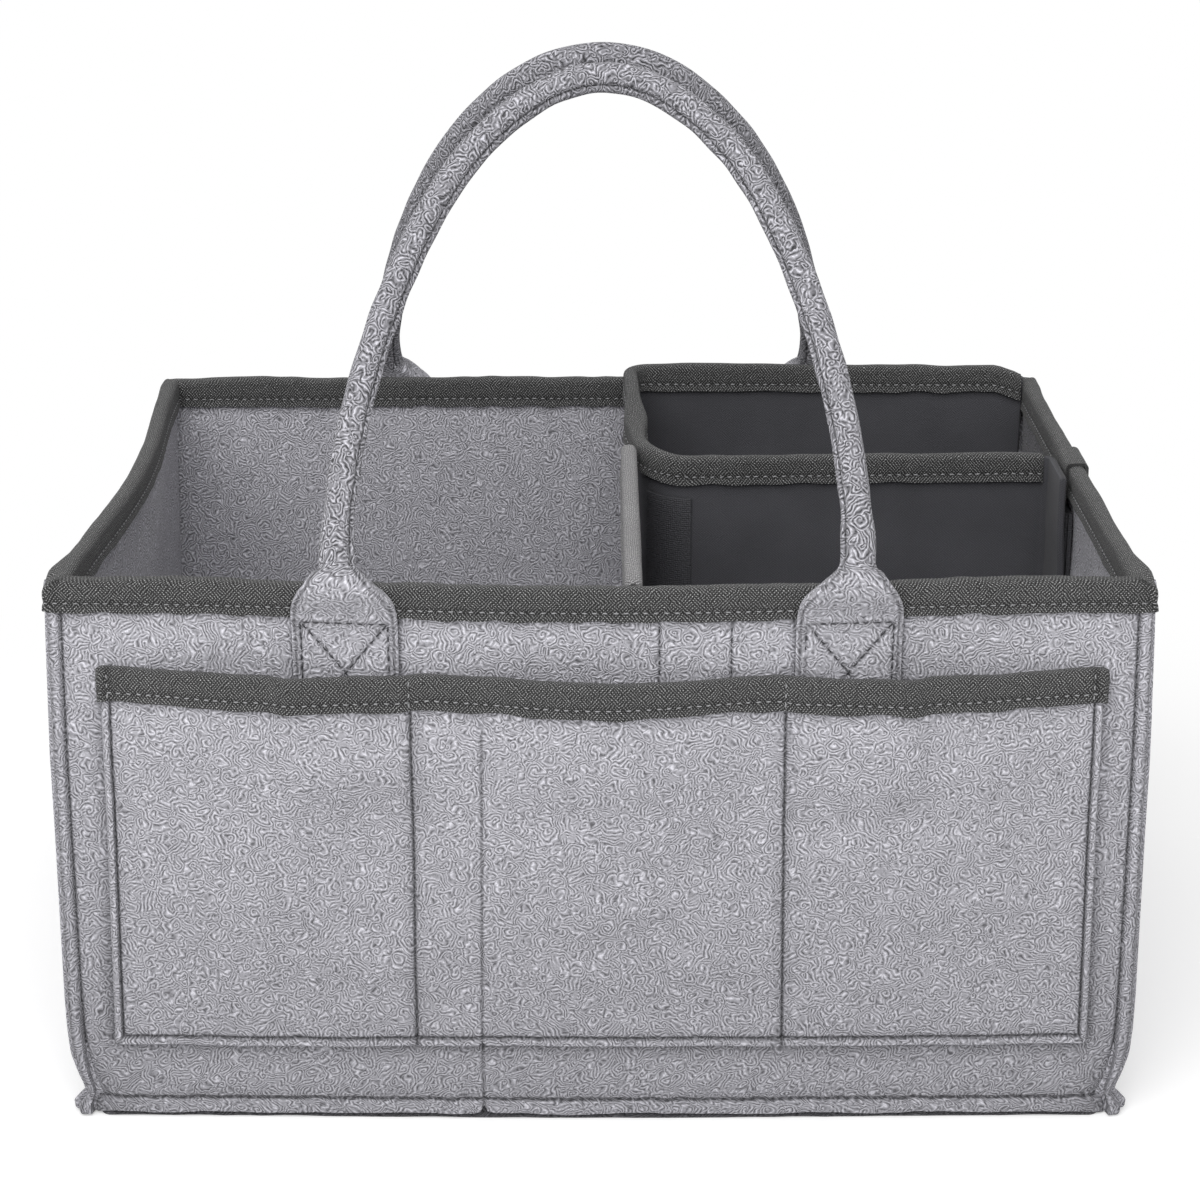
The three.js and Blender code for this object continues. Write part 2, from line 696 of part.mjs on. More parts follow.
function binLine() {
  const flangeBend = flat(binFlangeX - binFlangeRadius, crossEndY - binFlangeRadius);
  const backBend = flat(binRunX + binCornerRadius, binBackY - binCornerRadius);
  const swing = new THREE.CubicBezierCurve(
    flat(crossStart, crossY),
    flat(mix(crossStart, binRunX, 0.6), crossY),
    flat(binRunX, mix(binTurnEnd, crossY, 0.6)),
    flat(binRunX, binTurnEnd),
  );
  return [
    ...straight(flat(binFlangeX, flangeBend.y - binFlangeLength), flat(binFlangeX, flangeBend.y), 3),
    ...turn(flangeBend, binFlangeRadius, 0, 90, 4).slice(1),
    ...straight(flat(flangeBend.x, crossEndY), flat(crossStart, crossY), 8).slice(1),
    ...swing.getPoints(8).slice(1),
    ...straight(flat(binRunX, binTurnEnd), flat(binRunX, backBend.y), 5).slice(1),
    ...turn(backBend, binCornerRadius, 180, 90, 5).slice(1),
    ...straight(flat(backBend.x, binBackY), flat(binEnd, binBackY), 8).slice(1),
  ];
}

const binTop = (place) => bodyHeight + binRise * smooth(place.y, binTurnEnd, binBackY - binCornerRadius);
const onFlange = (place) => place.x > binFlangeX - binFlangeRadius / 2;

function rearBin() {
  const underTape = (place) => binTop(place) - tapeThickness - fitGap;
  const topAt = (place) => (onFlange(place) && place.y < binBackY / 2 ? feltTop : underTape(place));
  return uprightSheet(binLine(), liningThickness, liningBottom, topAt);
}

function rearBinBinding() {
  const line = binLine().filter((place) => !(onFlange(place) && place.y < binBackY / 2));
  return foldedTape(line, liningThickness, binTop);
}

// Strip of fastener tape down the bin's turn, where the lift-out divider meets it
function joinStrip() {
  const line = binLine().filter((place) => place.x < crossStart && place.y < crossY + joinStripWidth);
  const near = beside(line, -(liningThickness / 2 + fitGap));
  const far = beside(line, -(liningThickness / 2 + fitGap + joinStripThickness));
  const columns = line.map((_, index) => index);
  return sheet(
    [stripBottom, stripTop],
    columns,
    (index, height) => point(near[index].x, near[index].y, height),
    (index, height) => point(far[index].x, far[index].y, height),
  );
}

function sideStrip(faceX) {
  const end = crossEndY - binFlangeRadius;
  return sheet(
    [stripBottom, stripTop],
    spread(end - binTabWidth, end, 1),
    (y, height) => point(faceX, y, height),
    (y, height) => point(faceX - stripThickness, y, height),
  );
}

// Tape tab that hooks the bin's flange over the right-hand rim
function rimTab() {
  const reach = tapeStack + fitGap;
  const outerX = sideHalf + reach + tapeThickness;
  const innerX = innerHalfX - reach - tapeThickness;
  const top = bodyHeight + fitGap + tapeThickness;
  const end = crossEndY + binTabOverlap;
  const sections = spread(end - binTabWidth, end, 2).map((y) =>
    foldedSection(flat(outerX, y), flat(innerX, y), top - binTabDrop, top));
  return loft(sections, foldedOutline);
}

// Assembly: every piece as a named mesh, centred front to back on what the whole caddy spans
const pieces = [
  ['front_panel', frontPanel(), felt],
  ['back_panel', backPanel(), felt],
  ['left_panel', sidePanel(-1), felt],
  ['right_panel', sidePanel(1), felt],
  ['bottom_panel', bottomPanel(), felt],
  ['base_board', baseBoard(), board],
  ['rim_binding', rimBinding(), tape],
  ['front_pocket', frontPocket(), felt],
  ['pocket_binding', pocketBinding(), tape],
  ['front_tab_left', handleTab(-1, -1), rolledFelt],
  ['front_tab_right', handleTab(1, -1), rolledFelt],
  ['back_tab_left', handleTab(-1, 1), rolledFelt],
  ['back_tab_right', handleTab(1, 1), rolledFelt],
  ['front_handle', handleSleeve(-1), rolledFelt],
  ['front_handle_core', handleCore(-1), cord],
  ['back_handle', handleSleeve(1), rolledFelt],
  ['back_handle_core', handleCore(1), cord],
  ['front_divider', frontDivider(), felt],
  ['front_divider_binding', frontDividerBinding(), paleTape],
  ['divider_hook_strip', wallStrip(hookY), hookStrip],
  ['divider_loop_strip', wallStrip(loopY), hookStrip],
  ['rear_bin', rearBin(), lining],
  ['rear_bin_binding', rearBinBinding(), tape],
  ['bin_join_strip', joinStrip(), hookStrip],
  ['side_hook_strip', sideStrip(sideHookX), hookStrip],
  ['side_loop_strip', sideStrip(sideLoopX), hookStrip],
  ['bin_rim_tab', rimTab(), tape],
];

const caddy = new THREE.Group();
for (const [name, geometry, material] of pieces) {
  const mesh = new THREE.Mesh(geometry, material);
  mesh.name = name;
  caddy.add(mesh);
}
const span = new THREE.Box3().setFromObject(caddy);
caddy.position.y = -(span.min.y + span.max.y) / 2;

export default caddy;
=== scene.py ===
"""Felt nursery caddy: the look of each sewn piece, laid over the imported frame.

Metres, +X to the right, +Y to the back and +Z up, with the floor at zero.
"""

import math

import bpy
import numpy as np
from mathutils import Matrix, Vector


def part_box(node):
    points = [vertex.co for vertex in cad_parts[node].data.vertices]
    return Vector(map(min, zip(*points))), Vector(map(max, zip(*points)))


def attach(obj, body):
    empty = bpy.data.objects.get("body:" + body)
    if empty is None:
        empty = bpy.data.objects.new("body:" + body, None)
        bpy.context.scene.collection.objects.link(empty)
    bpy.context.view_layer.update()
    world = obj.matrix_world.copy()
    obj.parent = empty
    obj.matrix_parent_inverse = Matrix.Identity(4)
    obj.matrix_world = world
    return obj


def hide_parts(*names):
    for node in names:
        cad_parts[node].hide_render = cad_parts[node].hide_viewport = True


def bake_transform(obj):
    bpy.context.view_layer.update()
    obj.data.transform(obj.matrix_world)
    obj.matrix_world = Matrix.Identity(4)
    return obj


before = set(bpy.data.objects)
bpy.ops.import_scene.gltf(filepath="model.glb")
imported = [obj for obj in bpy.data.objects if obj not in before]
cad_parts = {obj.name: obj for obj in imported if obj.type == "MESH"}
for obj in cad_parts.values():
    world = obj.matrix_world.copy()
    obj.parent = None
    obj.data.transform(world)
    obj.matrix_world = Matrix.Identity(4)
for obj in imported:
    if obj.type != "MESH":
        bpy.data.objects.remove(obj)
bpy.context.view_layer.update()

# Camera: a long lens almost a metre in front of the caddy, looking down over its rim. Its place
# was worked out from the corners of the rim and of the base in the photograph.
camera_place = (0.0, -0.9425, 0.4846)
camera_down = math.radians(19.622)
camera_lens = 80.80

camera = bpy.data.objects.new("camera", bpy.data.cameras.new("camera"))
camera.data.lens = camera_lens
camera.matrix_world = (
    Matrix.Translation(camera_place) @ Matrix.Rotation(math.pi / 2 - camera_down, 4, "X"))
bpy.context.scene.collection.objects.link(camera)
bpy.context.scene.camera = camera
bpy.context.scene.view_settings.view_transform = "Standard"


# Floor and light: a sheet of white paper that runs out of view, under a wide soft lamp and an
# even white surround. The paper keeps the soft shadow under the caddy.
floor_reach = 6.0
floor_white = 0.80
floor_lift = 0.35
plain_from, plain_at = 0.28, 0.50
surround_strength = 0.50
lamp_place = (-0.28, -1.25, 1.42)
lamp_width = 1.6
lamp_power = 27.0


def node(tree, kind, inputs=(), **settings):
    """A shader node: its settings, and its inputs by name or number as links or plain values."""
    made = tree.nodes.new("ShaderNode" + kind)
    for name, value in settings.items():
        setattr(made, name, value)
    for name, value in dict(inputs).items():
        if isinstance(value, bpy.types.NodeSocket):
            tree.links.new(value, made.inputs[name])
        else:
            made.inputs[name].default_value = value
    return made


def maths(tree, operation, first, second=0.0, third=0.0):
    """The result of one sum on numbers or links."""
    return node(tree, "Math", {0: first, 1: second, 2: third}, operation=operation).outputs[0]


def mixed(tree, share, low, high):
    """A linear colour between two others, by a share from 0 to 1."""
    return node(tree, "Mix", {0: share, 6: low, 7: high}, data_type="RGBA").outputs[2]


def new_material(name):
    """An empty material and its node tree."""
    material = bpy.data.materials.new(name)
    material.use_nodes = True
    material.node_tree.nodes.clear()
    return material, material.node_tree


def seen_white(tree):
    """One for rays from the camera, a mirror or glass, so that they see plain white."""
    path = node(tree, "LightPath")
    both = maths(tree, "MAXIMUM", path.outputs["Is Camera Ray"], path.outputs["Is Glossy Ray"])
    return maths(tree, "MAXIMUM", both, path.outputs["Is Transmission Ray"])


def floor_material():
    """White paper. The camera sees it lifted a little near the caddy and plain white farther out."""
    material, tree = new_material("white_paper")
    place = node(tree, "TexCoord").outputs["Object"]
    distance = node(tree, "VectorMath", {0: place}, operation="LENGTH").outputs["Value"]
    far = node(tree, "MapRange", {0: distance, 1: plain_from, 2: plain_at}, interpolation_type="SMOOTHSTEP")
    seen = seen_white(tree)
    plain = maths(tree, "MULTIPLY", far.outputs[0], seen)
    lifted = maths(tree, "MULTIPLY", seen, floor_lift)
    glow = node(tree, "Mix", {0: plain, 2: lifted, 3: 1.0}).outputs[0]
    paper = node(tree, "BsdfPrincipled", {
        "Base Color": mixed(tree, plain, (floor_white, floor_white, floor_white, 1.0), (0.0, 0.0, 0.0, 1.0)),
        "Roughness": 0.9,
        "Specular IOR Level": 0.0,
        "Emission Color": (1.0, 1.0, 1.0, 1.0),
        "Emission Strength": glow,
    })
    node(tree, "OutputMaterial", {0: paper.outputs[0]})
    return material


floor_mesh = bpy.data.meshes.new("floor")
floor_corners = [(sx * floor_reach, sy * floor_reach, 0.0) for sx, sy in ((-1, -1), (1, -1), (1, 1), (-1, 1))]
floor_mesh.from_pydata(floor_corners, [], [(0, 1, 2, 3)])
floor_mesh.materials.append(floor_material())
floor = bpy.data.objects.new("floor", floor_mesh)
bpy.context.scene.collection.objects.link(floor)

world = bpy.data.worlds.new("surround")
world.use_nodes = True
world.node_tree.nodes.clear()
surround = node(world.node_tree, "Background", {"Color": (1.0, 1.0, 1.0, 1.0)})
to_white = node(world.node_tree, "Mix", {0: seen_white(world.node_tree), 2: surround_strength, 3: 1.0})
world.node_tree.links.new(to_white.outputs[0], surround.inputs["Strength"])
node(world.node_tree, "OutputWorld", {0: surround.outputs[0]})
bpy.context.scene.world = world

lamp_data = bpy.data.lights.new("soft_lamp", "AREA")
lamp_data.shape = "SQUARE"
lamp_data.size = lamp_width
lamp_data.energy = lamp_power
lamp = bpy.data.objects.new("soft_lamp", lamp_data)
lamp.location = lamp_place
lamp.rotation_euler = (-Matrix.Identity(3).col[2]).rotation_difference(
    -(lamp.location)).to_euler()
bpy.context.scene.collection.objects.link(lamp)


# Front wall: one piece of grey felt, its two ends and its lower edge sewn with the seam
# allowance outside, so that the raw edge stands out past the corners and down to the floor.
felt_thick = 0.003
half_width = 0.1765
half_depth = 0.1235
rim_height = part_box("rim_binding")[1].z
mid_y = sum(corner.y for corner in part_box("bottom_panel")) / 2
front_bow, back_bow, left_bow, bow_reach = 0.010, 0.0015, 0.006, 0.100
front_foot_bow = 0.002
front_sag, sag_from, sag_full = 0.0014, 0.172, 0.187
corner_in, corner_drop = 0.0012, 0.0020
tip_inner, tip_outer, tip_foot, tip_back = half_width - 0.002, half_width + 0.005, 0.193, 0.012
base_top = 0.009
fit_gap = 0.0003
tape_thick = 0.0012
tape_height = 0.0112
tape_stack = fit_gap + tape_thick
felt_top = rim_height - tape_stack
flange_width = 0.0066
flange_heights = [0.0, 0.003, 0.006, 0.009, 0.012, 0.015, 0.023, 0.033, 0.045, 0.107, 0.135, 0.1875, 0.2]
front_flares = [0.0034, 0.0047, 0.0026, 0.0003, 0.0008, 0.0020, 0.0040, 0.0052, 0.0053, 0.0043, 0.0040,
                0.0028, 0.0028]
seam_swells = [-0.0002, 0.0002, -0.0006, -0.0014, -0.0008, 0.0001, 0.0012, 0.0017, 0.0016, 0.0010, 0.0007,
               -0.0006, -0.0006]
corner_stitch_in = 0.0004
base_stitch_height = 0.0074
needle_wide = 0.0005
no_length = 1e-12
corner_needle, corner_drawn, low_corner_at, low_corner_reach = 0.0007, 0.0015, 0.012, 0.022
base_needle, base_drawn, base_fades = 0.0006, 0.0009, 0.006
pucker_deep, pucker_long = 0.00028, 0.008
edge_lift = 0.0010
# Painted shade: how dark the needle lines are drawn, and how dark beside the corners, along the base, low in
# each corner and at the raw edges of the allowances.
seam_shade, corner_shade, base_shade, foot_shade, edge_shade = 0.9, 0.15, 0.20, 0.45, 0.5
strip_stitches = (0.0192, 0.0426)
strip_shown_from, strip_stitched_from = 0.15, 0.155
strip_needle, strip_needle_wide = 0.0005, 0.0006
crease_deep, crease_wide = 0.0006, 0.0006
wall_uneven, foot_lift, corner_foot_drop = 0.0005, 0.0019, 0.0014
crease_x = -0.0402
crease_notch, crease_shown_to = 0.0030, 0.05
pocket_bottom, pocket_half_low, pocket_narrowing, pocket_shade_to = 0.0312, 0.1664, 0.0278, 0.166
tab_center, tab_width, right_tab_in, tab_shade_from = 0.0825, 0.0347, 0.0019, 0.14
felt_screen = (167, 166, 172)


def screen(red, green, blue):
    """Linear colour of a screen colour given from 0 to 255."""
    parts = np.array([red, green, blue]) / 255
    linear = np.where(parts < 0.04045, parts / 12.92, ((parts + 0.055) / 1.055) ** 2.4)
    return (*linear.tolist(), 1.0)


def ease(value, low, high):
    """Smooth step: zero below low and one above high, level at both ends."""
    share = np.clip((value - low) / (high - low), 0, 1)
    return share * share * (3 - 2 * share)


def dip(distance, width):
    """A bell of height one that fades over the width, as a needle line presses into felt."""
    return np.exp(-((distance / width) ** 2))


def fading(distance, width, start=0.0):
    """One at a line, falling past it as e to the minus distance over width, and zero before it."""
    return np.exp(-np.clip(distance, 0, None) / width) * (distance > start)


def waves(seed, length, count=7):
    """An uneven field: a sum of sine waves of random direction and phase, each near that length."""
    random = np.random.default_rng(seed)
    angles, phases = random.uniform(0, 2 * np.pi, (2, count))
    rates = 2 * np.pi / (length * random.uniform(0.65, 1.6, count))

    def field(u, v):
        """Sum of the waves at each place, brought to a spread of about one."""
        u, v = np.broadcast_arrays(u, v)
        turns = (u[..., None] * np.cos(angles) + v[..., None] * np.sin(angles)) * rates + phases
        return np.sin(turns).sum(-1) / math.sqrt(count / 2)

    return field


def stations(start, end, step, lines=(), fine=0.0004):
    """Places from start to end about a step apart, and closer round each sewn line."""
    even = np.linspace(start, end, max(2, round((end - start) / step) + 1))
    near = [line + fine * count for line in lines for count in range(-3, 4)]
    near = [place for place in near if start < place < end]
    every = np.sort(np.concatenate([even, near]))
    kept = every[np.concatenate([[True], np.diff(every) > 0.4 * fine])]
    kept[-1] = end
    return kept


def heights_between(bottom, top, step, lines=(), soft=0.0011):
    """Rows of a cut piece of cloth, with two extra rows at each raw edge for its soft rounding."""
    middle = stations(bottom + soft, top - soft, step, lines)
    ends = np.array([0, 0.35]) * soft
    return np.concatenate([bottom + ends, middle, (top - ends)[::-1]])


def steps_along(line):
    """Lengths of the steps from each point of a line to the next."""
    return np.linalg.norm(np.diff(line, axis=0), axis=-1)


def run_along(line):
    """Distance travelled along a line of points, at each of them."""
    return np.concatenate([[0], steps_along(line).cumsum()])


def unit(vectors, least=0.0):
    """Vectors brought to a length of one. A small least keeps one that has no length at zero."""
    return vectors / (np.linalg.norm(vectors, axis=-1, keepdims=True) + least)


def on_plan(x, y):
    """Plan points from two arrays."""
    return np.stack(np.broadcast_arrays(x, y), -1)


def placed(x, y, z):
    """Points from three arrays, in the caddy's straight places."""
    return np.stack(np.broadcast_arrays(x, y, z), -1).astype(float)


def settle(points):
    """Straight places moved to the real ones: each wall bows by the square of a cosine along it,
    more the higher it goes, the rim sags a little towards the front, and the tips of its front
    corners are drawn in and down."""
    x, y, z = np.moveaxis(points, -1, 0)
    z = z - front_sag * np.clip(0.5 - y / (2 * half_depth), 0, 1) * ease(z, sag_from, sag_full)
    tip = ease(np.abs(x), tip_inner, tip_outer) * ease(z, tip_foot, rim_height)
    tip = tip * ease(-y, half_depth - tip_back, half_depth)
    x, z = x - np.sign(x) * corner_in * tip, z - corner_drop * tip
    rise = np.clip((z - base_top) / (rim_height - base_top), 0, None)
    across = np.cos(np.clip(x / (2 * half_width), -0.5, 0.5) * np.pi) ** 2
    along = np.cos(np.clip(y / (2 * half_depth), -0.5, 0.5) * np.pi) ** 2

    def near(place, half):
        """One at that wall, easing to zero inwards."""
        return ease(place, half - bow_reach, half - bow_reach / 4)

    front = front_bow * rise + front_foot_bow * (1 - np.minimum(rise, 1))
    shift = back_bow * near(y, half_depth) * rise - front * near(-y, half_depth)
    return placed(x + left_bow * near(-x, half_width) * along * rise, y + mid_y + shift * across, z)


def cloth_rings(face, back, rounding=0.0007):
    """Rings round a sheet, one for each row: face, right edge, back and left edge.

    The cut edges swell out by the rounding, and the end rows thin out, which makes them soft.
    """
    middle, half = (face + back) / 2, (face - back) / 2
    thin = np.ones((len(face), 1, 1))
    thin[[0, -1]], thin[[1, -2]] = 0.5, 0.86
    face, back = middle + half * thin, middle - half * thin

    def edge(start, end, inner):
        """Two points of a cut edge for each row, between its face and back."""
        out = unit(start - inner, no_length) * rounding
        return [(start + (end - start) * share + out)[:, None] for share in (0.28, 0.72)]

    right = edge(face[:, -1], back[:, -1], face[:, -2])
    left = edge(back[:, 0], face[:, 0], back[:, 1])
    return np.concatenate([left[1], face, *right, back[:, ::-1], left[0]], axis=1)


def make_piece(name, points, quads, material, flows=None, sharp=38, crevice_shade=None):
    """One object at the origin from points and four-cornered faces, turned outwards by the sign
    of the volume that they close. flows are the UV places of each face's corners, in metres, and
    the crevice shade is the painted shade of each point, from 0 to 1, deepest in needle lines and folds."""
    a, b, c, d = (points[quads[:, corner]] for corner in range(4))
    volume = (a * np.cross(b, c)).sum() + (a * np.cross(c, d)).sum()
    if volume < 0:
        quads = quads[:, ::-1]
        flows = None if flows is None else flows[:, ::-1]
    mesh = bpy.data.meshes.new(name)
    mesh.from_pydata(points.tolist(), [], quads.tolist())
    if flows is not None:
        cut_from = 0.37 * len(bpy.data.meshes)
        mesh.uv_layers.new(name="cloth").data.foreach_set("uv", (flows + cut_from).reshape(-1))
    # Painted shade: each point's darkening is kept as an attribute that the materials read.
    if crevice_shade is not None:
        depth = mesh.attributes.new("crevice_shade", "FLOAT", "POINT")
        depth.data.foreach_set("value", np.clip(crevice_shade, 0, 1).reshape(-1))
    mesh.shade_smooth()
    mesh.set_sharp_from_angle(angle=math.radians(sharp))
    mesh.materials.append(material)
    piece = bpy.data.objects.new(name, mesh)
    bpy.context.scene.collection.objects.link(piece)
    return piece


def loft(name, rings, material, closed=False, crevice_shade=None):
    """A skin over rings of points, each joined to the next, closed on itself or with both ends
    capped by a ladder of faces from side to side. UV is metres along and round each ring."""
    rows, size = rings.shape[:2]
    lap = np.concatenate([rings, rings[:1]]) if closed else rings
    along = np.concatenate([[0], np.linalg.norm(np.diff(lap, axis=0), axis=-1).mean(1).cumsum()])
    hoop = np.concatenate([lap, lap[:, :1]], axis=1)
    around = np.linalg.norm(np.diff(hoop, axis=1), axis=-1).cumsum(1)
    around = np.concatenate([0 * around[:, :1], around], axis=1) - around[:, -1:] / 2
    i, j = np.meshgrid(np.arange(len(lap) - 1), np.arange(size), indexing="ij")
    corners = [(i, j), (i, j + 1), (i + 1, j + 1), (i + 1, j)]
    quads = np.stack([(p % rows) * size + q % size for p, q in corners], -1).reshape(-1, 4)
    flows = np.stack([np.stack([along[p], around[p, q]], -1) for p, q in corners], -2).reshape(-1, 4, 2)
    if not closed:
        k = np.arange(size // 2 - 1)
        ladder = np.stack([k, k + 1, size - 2 - k, size - 1 - k], -1)
        caps = [ladder[:, ::-1], ladder + (rows - 1) * size]
        quads = np.concatenate([quads, *caps])
        flat = np.stack([around[0][ladder], along[-1] + 0.003 * (ladder > k[-1] + 1)], -1)
        flows = np.concatenate([flows, flat[:, ::-1], flat])
    return make_piece(name, rings.reshape(-1, 3), quads, material, flows, crevice_shade=crevice_shade)


def face_painted_shade(painted_shade, back_face_shade=None):
    """Painted shade of a sheet's face and of its back, set in rings like those of cloth_rings."""
    edge = np.zeros((len(painted_shade), 1))
    back_face_shade = 0 * painted_shade if back_face_shade is None else back_face_shade
    return np.concatenate([edge, painted_shade, edge, edge, back_face_shade[:, ::-1], edge], axis=1)


def fasten(piece, body, slot, *nodes):
    """Puts a finished piece on its body, in place of its plain solids. slot is not used."""
    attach(piece, body)
    if nodes:
        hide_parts(*nodes)


def finished(material, tone, roughness, height, depth, strength=1.0, more=()):
    """Closes a material with its tone, its roughness and a relief, which is the height times the
    depth in metres. More holds further settings of the surface by name."""
    tree = material.node_tree
    bump = node(tree, "Bump", {"Strength": strength, "Distance": depth, "Height": height})
    surface = node(tree, "BsdfPrincipled", {
        "Base Color": tone, "Roughness": roughness, "Normal": bump.outputs[0], **dict(more)})
    node(tree, "OutputMaterial", {0: surface.outputs[0]})
    return material


def new_group(name, inputs, outputs):
    """An empty node group, with inputs as (label, kind) and outputs that are numbers: its tree,
    the sockets that it is given and the node that takes its results."""
    tree = bpy.data.node_groups.new(name, "ShaderNodeTree")
    for label, kind in inputs:
        tree.interface.new_socket(label, in_out="INPUT", socket_type="NodeSocket" + kind)
    for label in outputs:
        tree.interface.new_socket(label, in_out="OUTPUT", socket_type="NodeSocketFloat")
    return tree, tree.nodes.new("NodeGroupInput").outputs, tree.nodes.new("NodeGroupOutput")


def noise(tree, place, scale, detail=2.0, **settings):
    """Outputs of a noise at a place: its value and its colour."""
    return node(tree, "TexNoise", {"Vector": place, "Scale": scale, "Detail": detail}, **settings).outputs


def curled_fibres():
    """Node group: fibres that lie in small curls, packed side by side.

    Voronoi cells of a wandering place give each curl its middle. The sine of the distance from it,
    plus the angle round it, draws spirals, and each curl turns its own way. In some cells the lines
    run straight instead. A quarter of the sine and three quarters of its cube leave thin light and
    dark lines on a middle ground, broken into strokes by a fine noise. Two sizes of curl overlap,
    and each rules in patches. Loop is the curls' size and Spacing their lines' distance, in metres.
    """
    tree, given, result = new_group(
        "curled_fibres", (("Place", "Vector"), ("Loop", "Float"), ("Spacing", "Float")),
        ("Curls", "Grain", "Patches"))

    def flat_noise(scale, detail=1.0):
        """Noise at the given place, in its two directions only."""
        return noise(tree, given["Place"], scale, detail, noise_dimensions="2D")

    rate = maths(tree, "DIVIDE", 1.0, given["Loop"])
    wander = flat_noise(maths(tree, "MULTIPLY", rate, 1.1))["Color"]
    shifted = node(tree, "VectorMath", {0: wander, 1: (0.5, 0.5, 0.5)}, operation="SUBTRACT")
    reach = maths(tree, "MULTIPLY", given["Loop"], 0.75)
    moved = node(tree, "VectorMath", {0: shifted.outputs[0], "Scale": reach}, operation="SCALE")
    place = node(tree, "VectorMath", {0: given["Place"], 1: moved.outputs[0]}).outputs[0]
    winding = maths(tree, "DIVIDE", 2 * math.pi, given["Spacing"])
    curls = []
    for share, offset in ((1.0, 0.0), (0.7, 7.3)):
        apart = node(tree, "VectorMath", {0: place, 1: (offset, offset, 0.0)}).outputs[0]
        cells = node(tree, "TexVoronoi", {
            "Vector": apart, "Scale": maths(tree, "DIVIDE", rate, share)}, voronoi_dimensions="2D").outputs
        from_middle = node(tree, "VectorMath", {0: apart, 1: cells["Position"]}, operation="SUBTRACT")
        way = node(tree, "SeparateXYZ", {0: from_middle.outputs[0]}).outputs
        angle = maths(tree, "ARCTAN2", way[0], way[1])
        radius = node(tree, "VectorMath", {0: from_middle.outputs[0]}, operation="LENGTH").outputs["Value"]
        chance = node(tree, "SeparateColor", {0: cells["Color"]}).outputs
        hand = maths(tree, "SIGN", maths(tree, "SUBTRACT", chance[0], 0.5))
        heading = maths(tree, "MULTIPLY", chance[1], 2 * math.pi)
        turned = maths(tree, "MULTIPLY_ADD", angle, hand, heading)
        ahead = maths(tree, "MULTIPLY", way[0], maths(tree, "COSINE", heading))
        ahead = maths(tree, "MULTIPLY_ADD", way[1], maths(tree, "SINE", heading), ahead)
        is_straight = maths(tree, "GREATER_THAN", chance[2], 0.68)
        reached = node(tree, "Mix", {0: is_straight, 2: radius, 3: ahead}).outputs[0]
        turned = maths(tree, "MULTIPLY", turned, maths(tree, "SUBTRACT", 1.0, is_straight))
        curls.append(maths(tree, "SINE", maths(tree, "MULTIPLY_ADD", reached, winding, turned)))
    rule = node(tree, "MapRange", {
        0: flat_noise(maths(tree, "MULTIPLY", rate, 0.45))[0], 1: 0.46, 2: 0.54, 3: 0.18, 4: 0.82})
    both = node(tree, "Mix", {0: rule.outputs[0], 2: curls[0], 3: curls[1]}).outputs[0]
    cubed = maths(tree, "POWER", both, 3.0)
    cubed = maths(tree, "MULTIPLY_ADD", cubed, 0.75, maths(tree, "MULTIPLY", both, 0.25))
    strokes = flat_noise(maths(tree, "DIVIDE", 0.75, given["Spacing"]))[0]
    broken = node(tree, "MapRange", {0: strokes, 1: 0.34, 2: 0.50, 3: 0.45, 4: 1.0}).outputs[0]
    line = maths(tree, "MULTIPLY_ADD", maths(tree, "MULTIPLY", cubed, broken), 0.5, 0.5)
    grain, patches = flat_noise(1500.0, 2.0)[0], flat_noise(120.0, 3.0)[0]
    for label, value in (("Curls", line), ("Grain", grain), ("Patches", patches)):
        tree.links.new(value, result.inputs[label])
    return tree


def scaled_tone(tree, colour, steps):
    """A screen colour times two to the sum of the steps, each a value about zero and its weight."""
    power = 0.0
    for value, centre, weight in steps:
        power = maths(tree, "MULTIPLY_ADD", maths(tree, "SUBTRACT", value, centre), 2 * weight, power)
    ground = node(tree, "RGB")
    ground.outputs[0].default_value = screen(*colour)
    strength = maths(tree, "POWER", 2.0, power)
    return node(tree, "VectorMath", {0: ground.outputs[0], "Scale": strength}, operation="SCALE").outputs[0]


fibre_group = curled_fibres()


